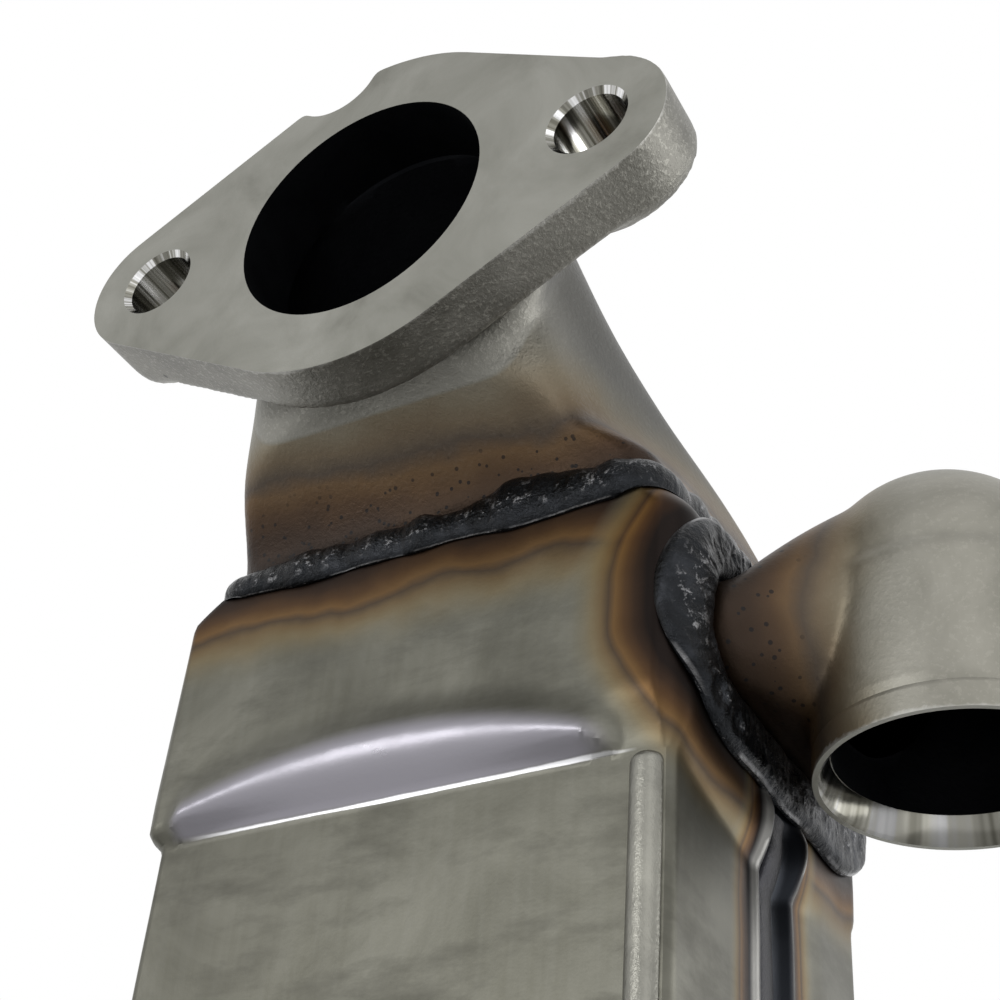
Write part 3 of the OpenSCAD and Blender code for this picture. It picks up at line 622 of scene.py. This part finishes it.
# painted highlight: the corner bead gets a lighter colour than the shell sheet it belongs to
litBeadSheet = plainMetal("litBeadSheet", (0.3, 0.295, 0.26), 0.22)
coreSheet = plainMetal("coreSheet", (0.15, 0.14, 0.12), 0.4)
brazeFill = plainMetal("brazeFill", (0.016, 0.016, 0.02), 0.22)
print("materials ready")

# camera, placed as in the photograph

camera = {"place": (0.139192, -0.165841, -0.222945), "right": (0.870474, 0.486914, 0.072046),
          "up": (0.245205, -0.555886, 0.79427), "back": (0.42679, -0.673725, -0.603278), "lens": 63.923}
lens = bpy.data.cameras.new("camera")
lens.lens = camera["lens"]
lens.sensor_width = 36
lens.clip_start = 0.01
eye = bpy.data.objects.new("camera", lens)
turn = Matrix((camera["right"], camera["up"], camera["back"])).transposed().to_4x4()
eye.matrix_world = Matrix.Translation(camera["place"]) @ turn
scene.collection.objects.link(eye)
scene.camera = eye

# gas flanges and castings

flange = {"lobeR": 36.0, "endR": 14.4, "half": 44.0, "bore": 24.0, "hole": 6.5, "chamfer": 1.0, "boss": 2.2}


def flangeParts(extra):
    # the outline is the skin over three discs; it stands on z = -extra
    hull = bmesh.new()
    for x, y, r in ((0, 0, flange["lobeR"]), (-flange["half"], 0, flange["endR"]), (flange["half"] + 0.4, 0.8, 13.8)):
        depth = body["flangeT"] + extra
        bmesh.ops.create_cone(hull, cap_ends=True, segments=96, radius1=r * mm, radius2=r * mm, depth=depth * mm,
                              matrix=Matrix.Translation((x * mm, y * mm, (depth / 2 - extra) * mm)))
    made = bmesh.ops.convex_hull(hull, input=hull.verts)
    keep = {g for g in made["geom"] if isinstance(g, bmesh.types.BMFace)}
    bmesh.ops.delete(hull, geom=[f for f in hull.faces if f not in keep], context="FACES")
    bmesh.ops.delete(hull, geom=[v for v in hull.verts if not v.link_faces], context="VERTS")
    notched = toObject(hull, "flangeHull")
    carve(notched, placed(turned([(0, -20), (9, -20), (9, 40), (0, 40)], 48),
                          Matrix.Translation((-flange["lobeR"] * 0.28 * mm, -flange["lobeR"] * 1.06 * mm, 0))))
    plate = bmesh.new()
    plate.from_mesh(notched.data)
    bpy.data.objects.remove(notched)
    parts = [plate]
    for s in (-1, 1):
        boss = bmesh.new()
        high = body["flangeT"] + flange["boss"]
        bmesh.ops.create_cone(boss, cap_ends=True, segments=64, radius1=14.3 * mm, radius2=14.1 * mm, depth=high * mm,
                              matrix=Matrix.Translation((s * flange["half"] * mm, 0, high / 2 * mm)))
        parts.append(boss)
    return parts


def boltCutter(s):
    c = flange["chamfer"]
    r = flange["hole"]
    bm = turned([(0, -3), (r + c + 3, -3), (r, c), (r, 22), (0, 22)], 64)
    return placed(bm, Matrix.Translation((s * flange["half"] * mm, 0, 0)))


standUp = Matrix.Rotation(math.radians(-90), 4, "X")

elbow = {"neckR": 28.0, "skirt": 6.0, "back": 56 / 3.1, "taper": 0.16, "wall": 4.25, "drop": 50.0, "ridge": 4.2,
         "lean": 0.28}


def elbowPoint(u, s, w):
    a = math.radians(90 * s)
    drop = elbow["drop"] - elbow["skirt"]
    rise = math.sin(a) ** 0.6 if s > 0 else 0
    hx = mix(elbow["neckR"], body["footX"], rise) - w
    bend = math.sin(2 * a)
    near = mix(drop - elbow["neckR"], body["coreY"] - body["footY"] - body["neckY"], s) - bend * 2 + w
    far = mix(drop + elbow["neckR"], body["coreY"] + body["footY"] - body["neckY"], s) - bend * elbow["back"] - w
    hv = (far - near) / 2
    c = (1 - s) ** elbow["ridge"]
    h = 1 - s ** 2.4
    r = body["footR"] - w / 2
    x, v = roundedPoint(u, hx, hv, (mix(r, hx, c), mix(r, hv, c)), (mix(r, hx, h), mix(r, hv, h)))
    share = (v + hv) / (2 * hv)
    x *= 1 - (elbow["taper"] + 0.07 * (1 - s)) * bend * share
    if x > 0:
        # the right front edge leans in towards the flange
        x *= 1 - elbow["lean"] * (1 - share) * ease(0, 0.2, s) * ease(1.0, 0.62, s)
    v += (near + far) / 2
    return x, body["neckY"] + v * math.sin(a), body["rimZ"] + elbow["skirt"] + v * math.cos(a)


def elbowOuter(u, v):
    # the first sixteenth lies inside the flange, the last goes straight down the skirt
    if v < 0.06:
        x, y, z = elbowPoint(u, 0, 0)
        return x, mix(8.0, y, v / 0.06), z
    if v > 0.94:
        x, y, z = elbowPoint(u, 1, 0)
        return x, y, mix(z, body["rimZ"] - 1.5, (v - 0.94) / 0.06)
    return elbowPoint(u, (v - 0.06) / 0.88, 0)


def elbowInner(u, v):
    if v < 0.12:
        a = math.tau * u
        t = v / 0.12
        r = flange["bore"] + 0.5 * clamp(1 - t * 40)
        return r * math.cos(a), mix(-3.0, 14.5, t), r * math.sin(a)
    if v > 0.95:
        x, y, z = elbowPoint(u, 1, elbow["wall"])
        return x, y, mix(z, body["rimZ"] - 4, (v - 0.95) / 0.05)
    s = (v - 0.12) / 0.83
    return elbowPoint(u, s, elbow["wall"])


parts = [placed(p, standUp) for p in flangeParts(2.0)]
parts.append(closeUp(wrapGrid(144, 90, elbowOuter)))
elbowPiece = castBody(joined(parts), "gasInletElbow", 0.85, 8, [inletCast, machined, sooted, reamed])
cutOff(elbowPiece, (0, 0, 0), (0, -1, 0))
cutOff(elbowPiece, (0, 0, body["rimZ"]), (0, 0, -1))
carve(elbowPiece, closeUp(wrapGrid(96, 70, elbowInner)), 2)
for s in (-1, 1):
    carve(elbowPiece, placed(boltCutter(s), standUp), 3)
finishPiece(elbowPiece, None, "gas_inlet_elbow")

cone = {"length": 66.0, "top": 2 * body["midZ"] - body["rimZ"]}


def conePoint(u, s, w):
    e = (1 - math.cos(math.pi * s)) / 2
    hx = mix(body["footX"], elbow["neckR"], e) - w
    hy = mix(body["footY"], elbow["neckR"], e) - w
    c = s ** 0.8
    r = body["footR"] - w / 2
    x, y = roundedPoint(u, hx, hy, (mix(r, hx, c), mix(r, hy, c)))
    return x, body["coreY"] + y, cone["top"] - s * cone["length"]


def coneOuter(u, v):
    # the last rows lie inside the flange
    if v < 0.96:
        return conePoint(u, 1.06 * v - 0.02 if v > 0.02 else 0, 0)
    x, y = conePoint(u, 1, 0)[:2]
    return x, y, -516.0


lowPlace = Matrix.Translation((0, body["coreY"] * mm, body["lowZ"] * mm))
parts = [placed(p, lowPlace) for p in flangeParts(2.0)]
parts.append(closeUp(wrapGrid(144, 60, coneOuter)))
conePiece = castBody(joined(parts), "gasOutletCone", 0.9, 8, [outletCast, machined, sooted, reamedLow])
cutOff(conePiece, (0, 0, body["lowZ"]), (0, 0, -1))
cutOff(conePiece, (0, 0, cone["top"]), (0, 0, 1))


def coneInner(u, v):
    if v > 0.85:
        a = math.tau * u
        return (flange["bore"] * math.cos(a), body["coreY"] + flange["bore"] * math.sin(a),
                mix(-512.5, -528.0, (v - 0.85) / 0.15))
    x, y, z = conePoint(u, clamp(v / 0.83 - 0.02), elbow["wall"])
    return x, y, z + (4 if v < 0.02 else 0)


carve(conePiece, closeUp(wrapGrid(96, 60, coneInner)), 2)
for s in (-1, 1):
    carve(conePiece, placed(boltCutter(s), lowPlace), 3)
finishPiece(conePiece, None, "gas_outlet_cone")
print("gas castings done")

# coolant castings

port = {"x": 76.5, "r": 22.0, "bore": 18.0, "mouth": -92.6, "middle": -61.4, "footHalf": 28.5, "footHigh": 9.5,
        "footZ": -72.3, "footR": 9.0, "start": 47.7, "collar": 3.1, "waist": 0.86, "ledge": 0.9, "wall": 4.0,
        "voxel": 0.65}


def funnelPoint(u, s, w):
    s0 = port["collar"] / (port["x"] - port["start"])
    t = clamp((s - s0) / (1 - s0))
    r0 = port["r"] - w
    top = mix(port["footZ"] + port["footHigh"], port["middle"] + port["r"] - 0.4, 1 - (1 - t) ** 2.2) - w
    low = mix(port["footZ"] - port["footHigh"], port["mouth"] + 2.3, t) + w
    hv = (top - low) / 2
    hy = mix(r0 * port["waist"], port["footHalf"] - w, (1 - t) ** 2.2)
    e = 1 - (1 - t) ** 2
    ry = min(hy, mix(port["footR"] - w / 2, r0, e))
    rv = min(hv, mix(port["footR"] - w / 2, r0, e))
    y, z = roundedPoint(u, hy, hv, (ry, rv))
    return mix(port["start"], port["x"], s), body["coreY"] + y, z + (top + low) / 2


def pipeProfile(r, low):
    # the pipe stands a little proud of its domed top
    inner = r - port["ledge"]
    lift = port["middle"] + port["ledge"]
    dome = [(inner * math.cos(a), lift + inner * math.sin(a)) for a in [math.radians(5 * i) for i in range(18)]]
    return [(0, low), (r, low), (r, port["middle"] - 2.5), (inner, port["middle"] - 1.2)] + dome + [(0, lift + inner)]


pipeAxis = Matrix.Translation((port["x"] * mm, body["coreY"] * mm, 0))
parts = [placed(turned(pipeProfile(22.2, port["mouth"] - 4)), pipeAxis),
         closeUp(wrapGrid(120, 50, lambda u, v: funnelPoint(u, v * 0.9 if v > 0.02 else -0.07, 0)))]
portPiece = castBody(joined(parts), "coolantOutletElbow", port["voxel"], 26, [portCast, machined, sooted, mouthRing])
cutOff(portPiece, (0, 0, port["mouth"]), (0, 0, -1))
cutOff(portPiece, (port["start"], 0, 0), (-1, 0, 0))
# cutters as profiles of (radius, height): the step above the collar, the bore, the chamfered mouth
stepCut = [(21.9, -87.9), (22.25, -88.7), (26, -88.7), (26, -86.3), (22.25, -86.3), (21.9, -87.9)]
boreCut = [(0, -97), (19.2, -97), (19.2, -81), (17.99, -78), (17.99, port["middle"]), (12, -46.5), (0, -44)]
mouthCut = [(0, -97), (24.5, -97), (21.3, port["mouth"]), (20.7, -92.0), (19.3, -88.0), (0, -88.0)]
carve(portPiece, placed(turned(stepCut, 128), pipeAxis))
carve(portPiece, placed(turned(boreCut), pipeAxis), 2)
funnelCut = wrapGrid(80, 30, lambda u, v: funnelPoint(u, v * 0.92 if v > 0.03 else -0.1, port["wall"]))
carve(portPiece, closeUp(funnelCut), 2)
carve(portPiece, placed(turned(mouthCut), pipeAxis), 3)
portLow = turnedOver(portPiece, "coolantInletElbow")
portLow.data.materials[0] = portLowCast
finishPiece(portPiece, None, "coolant_outlet_elbow")
finishPiece(portLow, None, "coolant_inlet_elbow")
print("coolant castings done")

# sheet shell

shell = {"lensH": 9.8, "lensX": -4.5, "lensHalf": 43.0, "lensLeft": 46.0, "swell": 1.3, "swellH": 7.0,
         "stepH": 2.4, "softStepH": 10.0, "sideStepH": 7.5, "lipTank": 1.7, "lipCore": 0.9, "lipStart": -89.5,
         "lipFull": -95.0, "flare": 0.7, "leftOut": 0.8, "rearOut": 1.2, "cornerR": 6.0, "sharpR": 2.4}
rib = {"x": 41.5, "y": 33.7, "r": 2.7, "top": -100.2, "endShare": 0.03}
# the joint between the halves: a trough with a rolled lip on each side, by distance from its middle
lipPlaces = [0, 2.0, 3.4, 4.8, 5.9, 6.7, 7.5, 8.4, 9.8]
lipRises = [0, 0, 0, 0.05, 0.5, 1, 1, 0.3, 0]
troughs = [1.3, 1.3, 1.15, 0.5, 0, 0, 0, 0, 0]


def alongTable(places, values, d):
    for i in range(len(places) - 1):
        if d <= places[i + 1]:
            t = (d - places[i]) / (places[i + 1] - places[i])
            return mix(values[i], values[i + 1], t * t * (3 - 2 * t))
    return values[-1]


def lensTop(x):
    # top of the slanting facet pressed into the front, above the crease
    left = x < shell["lensX"]
    e = (x - shell["lensX"]) / (shell["lensLeft"] if left else shell["lensHalf"])
    return shell["lensH"] * max(0.0, 1 - e * e) ** (1.0 if left else 0.85) * ease(-46.0, -40, x)


def facetFall(z, top):
    # how far in the facet has gone at height z above the crease, as a share: bends, then runs straight
    if z >= top or top < 0.4:
        return 0.0
    q = min(1.0, (top - z) / top)
    bend = 0.62
    return (q * q / (2 * bend) if q < bend else q - bend / 2) / (1 - bend / 2)


def sideSlope(z):
    # how far the fold on the sides has gone from tank to core at height z, as a share
    return clamp((body["creaseZ"] + shell["sideStepH"] - z) / shell["sideStepH"]) ** 1.5


def swellAt(z, top):
    # how far the sheet bulges out above the facet, as a share
    if top < 0.4:
        return 0.0
    if z < top:
        return 1 - facetFall(z, top)
    return ease(top + shell["swellH"], top - 1.0, z)


def shellPoint(t, row, way, far=False):
    # t runs round half of the shell from seam to seam; row is a height at the front, and each row
    # comes down on the sides as the fold does
    if row < body["midZ"]:
        x, y, z = shellPoint(t, 2 * body["midZ"] - row, way, True)
        return x, y, 2 * body["midZ"] - z
    half = body["tankY"] + body["tankX"]
    d = (1 - abs(2 * t - 1)) * half  # distance from the seam along the section
    side = -1 if t < 0.5 else 1
    onSide = 1 - ease(body["tankY"] - 8, body["tankY"] + 1, d)
    drop = body["sideDrop"] * clamp(1.06 - d / (body["tankY"] + 1.5))
    zUp = row - drop * ease(-74, -93, row) * ease(-139, -114, row)
    stepH = shell["softStepH"] if side > 0 and way < 0 else shell["stepH"]
    k = mix(ease(body["creaseZ"] + stepH, body["creaseZ"], row), sideSlope(row), onSide)
    top = clamp((body["rimZ"] - zUp) / body["shoulder"])
    sharpLeft = side < 0 and way < 0
    away = ease(9, 20, d)
    tankX = body["tankX"] + (shell["flare"] * ease(-55, -92, zUp) * away if sharpLeft and not far else 0)
    coreX = body["coreX"]
    if sharpLeft:
        coreX += away * shell["leftOut"]
    elif way > 0 and side > 0:
        coreX += away * shell["rearOut"]
    hx = mix(mix(body["footX"] + body["sheet"], tankX, math.sin(top * math.pi / 2)), coreX, k)
    hy = mix(body["tankY"], body["coreHalfY"], k)
    tankR = shell["sharpR"] if sharpLeft and not far else shell["cornerR"]
    r = mix(mix(6.5, tankR, top), 2.0 if way < 0 else 3.0, k)
    x, y = quarterPoint(d / half, hx, hy, r, r)
    if d < 11 and zUp < -86:
        begun = ease(shell["lipStart"], shell["lipFull"], zUp)
        x += begun * (mix(shell["lipTank"], shell["lipCore"], k) * alongTable(lipPlaces, lipRises, d)
                      - alongTable(lipPlaces, troughs, d))
    x *= side
    if way < 0 and y > hy - 0.3:
        high = lensTop(x)
        inLens = ease(0.3, 3.5, high)
        up = zUp - body["creaseZ"]
        fall = max(k * (1 - inLens), facetFall(up, high), 1.0 if up <= 0 else 0.0)
        out = shell["swell"] * swellAt(up, high) * inLens if up > 0 else 0.0
        y = body["tankY"] - (body["tankY"] - body["coreHalfY"]) * fall + out
    warp = 0.16 * rough(x, way * y, zUp, 24, 3.1) + 0.05 * rough(x, way * y, zUp, 8, 9.4)
    y += warp * (1 - onSide)
    x += warp * onSide * side
    seam = 0.1 if d < 0.01 else 0
    return x, body["coreY"] + way * (y + seam), zUp


def polishAndSheenAt(t, row, way):
    # the press has burnished the facet, and its colour there is painted lighter as a painted reflection: 1 there, 0
    # elsewhere
    if way > 0:
        return 0.0
    x, y, z = shellPoint(t, row, way)
    up = (z if z > body["midZ"] else 2 * body["midZ"] - z) - body["creaseZ"]
    high = lensTop(x)
    if y > 33.5 or high < 1:
        return 0.0
    return ease(-0.6, 0.4, up) * ease(high + 3.0, high - 0.5, up) * ease(1, 4, high)


def shellRow(v):
    # rows are close together at both ends
    w = abs(2 * v - 1)
    z = mix(body["midZ"], -140, w / 0.14) if w < 0.14 else mix(-140, body["rimZ"], (w - 0.14) / 0.86)
    return z if v > 0.5 else 2 * body["midZ"] - z


def shellHalf(name, way, node):
    bm = wrapGrid(236, 210, lambda u, v: shellPoint(clamp(u), shellRow(v), way),
                  lambda u, v: polishAndSheenAt(clamp(u), shellRow(v), way))
    bmesh.ops.recalc_face_normals(bm, faces=bm.faces)
    outer = max(bm.faces, key=lambda f: abs(f.calc_center_median().x))
    if outer.normal.x * outer.calc_center_median().x < 0:
        bmesh.ops.reverse_faces(bm, faces=bm.faces)
    obj = toObject(bm, name)
    wall = obj.modifiers.new("wall", "SOLIDIFY")
    wall.thickness = body["sheet"] * mm
    wall.offset = -1
    bake(obj)
    return finishPiece(obj, shellSheet, node, 40)


shellHalf("shellFrontHalf", -1, "shell_front_half")
shellHalf("shellRearHalf", 1, "shell_rear_half")


def ribPoint(u, v):
    # the stiffening bead near the front right corner, with round ends
    a = math.tau * u
    low, high = 2 * body["midZ"] - rib["top"], rib["top"]
    end = min(v, 1 - v) / rib["endShare"]
    r = rib["r"] * (math.sqrt(max(0, 1 - (1 - end) ** 2)) if end < 1 else 1)
    if end < 1:
        z = (low + 2 * end - 2) if v < 0.5 else (high - 2 * end + 2)
    else:
        z = mix(low, high, (v - rib["endShare"]) / (1 - 2 * rib["endShare"]))
    return rib["x"] + r * math.cos(a), rib["y"] + r * math.sin(a), z


finishPiece(toObject(closeUp(wrapGrid(28, 200, ribPoint)), "shellCornerBead"), litBeadSheet,
            "shell_front_half", 60)


braze = {"top": -93.0, "half": 2.9, "high": 0.75}


def brazePoint(u, v):
    # the filler that lies in the trough, wavy and slightly domed
    a = math.pi * u
    z = mix(2 * body["midZ"] - braze["top"], braze["top"], v)
    up = max(z, 2 * body["midZ"] - z)
    k = sideSlope(up + body["sideDrop"])
    wide = braze["half"] + 0.3 * rough(0, 0, z, 16, 2.0)
    high = braze["high"] + 0.25 * rough(0, 0, z, 12, 5.0)
    begun = ease(shell["lipStart"], shell["lipFull"], up)
    floorX = mix(body["tankX"], body["coreX"], k) - troughs[0] * begun + 0.05
    if u > 0.999 or u < 0.001:
        high = 0
    return floorX + high * math.sin(a) ** 0.7, body["coreY"] + wide * math.cos(a), z


brazeRight = finishPiece(toObject(closeUp(wrapGrid(12, 240, brazePoint)), "seamBrazeRight"), brazeFill,
                         "seam_braze_right", 60)
finishPiece(turnedOver(brazeRight, "seamBrazeLeft"), brazeFill, "seam_braze_left", 60)
print("shell done")

# weld beads

bead = {"rise": 5.0, "lap": 3.4, "out": 3.2, "gap": 0.1, "ripple": 2.3, "crown": 0.72, "girth": 290.0, "shelf": 5.1}


def footWeld(u, v):
    # v runs round the foot, u across the bead and back along its root
    hx, hy, r = body["footX"], body["footY"], body["footR"]
    px, py = roundedPoint(v % 1.0, hx, hy, (r, r))
    qx, qy = roundedPoint((v + 0.0005) % 1.0, hx, hy, (r, r))
    n = Vector((qy - py, px - qx, 0)).normalized()
    k = abs(n.x)
    seed = rough(px, py, 0, 6, 1.7)
    wave = rough(px, py, 0, 13, 5.2)
    step = (v * bead["girth"] / bead["ripple"] + 0.5 * rough(px, py, 0, 4, 8)) % 1.0
    ripple = 0.32 * (step ** 0.7)
    crest = 0.6 * rough(px, py, 0, 3.3, 7.7)
    full = mix(0.62, 1.08, ease(-34, 12, px))
    rise = bead["rise"] * full * (1 + 0.45 * wave + 0.3 * seed + 0.22 * crest)
    lap = bead["lap"] * (1 - 0.5 * k) * (1 + 0.3 * wave + 0.1 * seed)
    out = bead["out"] * mix(0.78, 1.0, full) * (1 + 0.28 * seed + 0.1 * crest) + ripple * 0.5
    crown, gap = bead["crown"], bead["gap"]
    if u < crown:
        share = u / crown
        a = share * math.pi * 0.9
        lift = gap + out * math.sin(a) ** 0.62 * (0.72 + 0.28 * share) if a > 0 else gap
        z = mix(rise, -lap, (1 - math.cos(a)) / 2 / 0.976)
        spread = bead["shelf"] * math.sin(math.pi / 2 * clamp(max(0, -z) / body["shoulder"])) * k + 1.75
        lift = max(lift, spread if z < 0 else gap)
    else:
        t = (u - crown) / (1 - crown)
        spread = bead["shelf"] * math.sin(math.pi / 2 * clamp(lap / body["shoulder"])) * k + 1.7
        lift = mix(spread, gap, clamp(t * 1.6))
        z = mix(-lap, rise, t) if t > 0.6 else mix(-lap, 0, t / 0.6) if t < 0.6 else 0
    return px + n.x * lift, body["coreY"] + py + n.y * lift, body["rimZ"] + z


def crownMark(crown):
    # the paint reads how far across the seen side of a bead a point lies
    return lambda u, v: u / crown if u < crown else 0.0


weldTop = toObject(closeUp(wrapGrid(26, 900, footWeld, crownMark(bead["crown"]))), "inletWeld")
finishPiece(weldTop, weldBead, "inlet_weld", 50)
finishPiece(mirrored(weldTop, "outletWeld"), weldBead, "outlet_weld", 50)

portWeld = {"half": 5.25, "high": 3.0, "halfWide": 33.9, "halfHigh": 14.85, "r": 14.25, "crown": 0.6, "girth": 170.0,
            "ripple": 2.4, "root": 0.28}
craters = [(-28.6, -14.6, 2.7), (-22.6, -16.9, 2.2)]


def sidePoint(u, z, h):
    # a point on the tank's right side: u along the section from the middle, lifted by h
    d = abs(u)
    way = -1 if u < 0 else 1
    r = shell["cornerR"]
    flat = body["tankY"] - r
    a = min(math.pi / 2, max(0, d - flat) / r)
    past = max(0, d - flat - r * math.pi / 2)
    s = clamp((body["rimZ"] - z) / body["shoulder"])
    hx = mix(body["footX"] + body["sheet"], body["tankX"], math.sin(s * math.pi / 2))
    return hx - r + (r + h) * math.cos(a) - past, body["coreY"] + way * (min(d, flat) + (r + h) * math.sin(a)), z


def sideWeld(u, v):
    # v runs round the port's foot, u across the bead and back along its root
    halfWide, halfHigh, r, crown = (portWeld[k] for k in ("halfWide", "halfHigh", "r", "crown"))
    pu, pz = roundedPoint(v % 1.0, halfWide, halfHigh, (r, r))
    qu, qz = roundedPoint((v + 0.0005) % 1.0, halfWide, halfHigh, (r, r))
    n = Vector((qz - pz, pu - qu, 0)).normalized()
    lump = rough(pu, pz, 0, 7, 2.2)
    wide = portWeld["half"] * (1 + 0.12 * rough(pu, pz, 0, 11, 4.4))
    if u < crown:
        t = u / crown * 2 - 1
        w = t * wide
        bow = v * portWeld["girth"] / portWeld["ripple"] + 0.7 * t * t + 0.8 * lump
        ripple = 0.12 * ((bow % 1.0) ** 0.6)
        h = portWeld["high"] * (1 - abs(t) ** 7) * (0.66 + 0.18 * lump) + ripple * (1 - t * t) + 0.3
        h += (0.3 * rough(pu, w, pz, 2.6, 6.6) + 0.16 * rough(pu, w, pz, 1.1, 2.6)) * (1 - t * t)
        for cu, cz, cr in craters:
            far = math.hypot(pu + w * n.x - cu, pz + w * n.y - cz)
            h += (0.5 * math.exp(-((far - cr) / 0.6) ** 2) - 0.6 * math.exp(-(far / cr / 0.7) ** 2)) * (1 - t * t)
    else:
        w = (1 - (u - crown) / (1 - crown) * 2) * wide
        h = portWeld["root"]
    return sidePoint(pu + w * n.x, port["footZ"] + pz + w * n.y, max(h, portWeld["root"]))


sideTop = toObject(closeUp(wrapGrid(36, 700, sideWeld, crownMark(portWeld["crown"]))), "coolantOutletWeld")
finishPiece(sideTop, weldBead, "coolant_outlet_weld", 50)
finishPiece(turnedOver(sideTop, "coolantInletWeld"), weldBead, "coolant_inlet_weld", 50)
print("welds done")

# carried-over solids

for node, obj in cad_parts.items():
    if node.startswith(("gas_tube", "gas_fin", "tube_support", "header_plate")):
        obj.data.materials.clear()
        obj.data.materials.append(coreSheet)

# floor, light and white surroundings

stage = {"colour": (0.8, 0.8, 0.79), "halfSize": 0.8, "drop": 0.0005}
floorMesh = bmesh.new()
bmesh.ops.create_grid(floorMesh, x_segments=1, y_segments=1, size=stage["halfSize"])
placed(floorMesh, Matrix.Translation((0, 0.07, body["lowZ"] * mm - stage["drop"])))
floor = toObject(floorMesh, "floor")
paleFloor, tree, shader = newMaterial("paleFloor")
shader.inputs["Base Color"].default_value = (*stage["colour"], 1)
shader.inputs["Roughness"].default_value = 0.7
floor.data.materials.append(paleFloor)

world = bpy.data.worlds.new("surroundings")
scene.world = world
world.use_nodes = True
tree = world.node_tree
tree.nodes.clear()
paths = addNode(tree, "ShaderNodeLightPath")
seen = maths(tree, "MAXIMUM", paths.outputs["Is Camera Ray"], maths(tree, "MAXIMUM", paths.outputs["Is Glossy Ray"],
             paths.outputs["Is Transmission Ray"]))
skyWhite = addNode(tree, "ShaderNodeBackground", {"Color": (1, 1, 1, 1), "Strength": 1.0})
skyDim = addNode(tree, "ShaderNodeBackground", {"Color": (1, 1, 1, 1), "Strength": 0.45})
both = addNode(tree, "ShaderNodeMixShader", {0: seen, 1: skyDim.outputs[0], 2: skyWhite.outputs[0]})
end = addNode(tree, "ShaderNodeOutputWorld", {"Surface": both.outputs[0]})


def softLamp(name, place, aim, size, watts, high=None):
    lamp = bpy.data.lights.new(name, "AREA")
    lamp.shape = "RECTANGLE" if high else "SQUARE"
    lamp.size = size
    lamp.size_y = high or size
    lamp.energy = watts
    obj = bpy.data.objects.new(name, lamp)
    obj.location = place
    obj.rotation_euler = (Vector(aim) - Vector(place)).to_track_quat("-Z", "Y").to_euler()
    scene.collection.objects.link(obj)


softLamp("keyLamp", (0.75, -0.85, 0.55), (0, 0.05, -0.15), 1.0, 2.2)
softLamp("creaseLamp", (-0.3, -0.73, 0.12), (0, 0.031, -0.09), 0.5, 1.4, 0.16)
softLamp("fillLamp", (0.8, -0.5, -0.35), (0, 0.05, -0.1), 0.6, 0.9)
softLamp("sideLamp", (0.95, 0.62, 0.0), (0, 0.05, -0.1), 0.7, 4.1)
softLamp("rearLamp", (-0.5, 1.1, -0.1), (0, 0.05, -0.2), 0.9, 2)
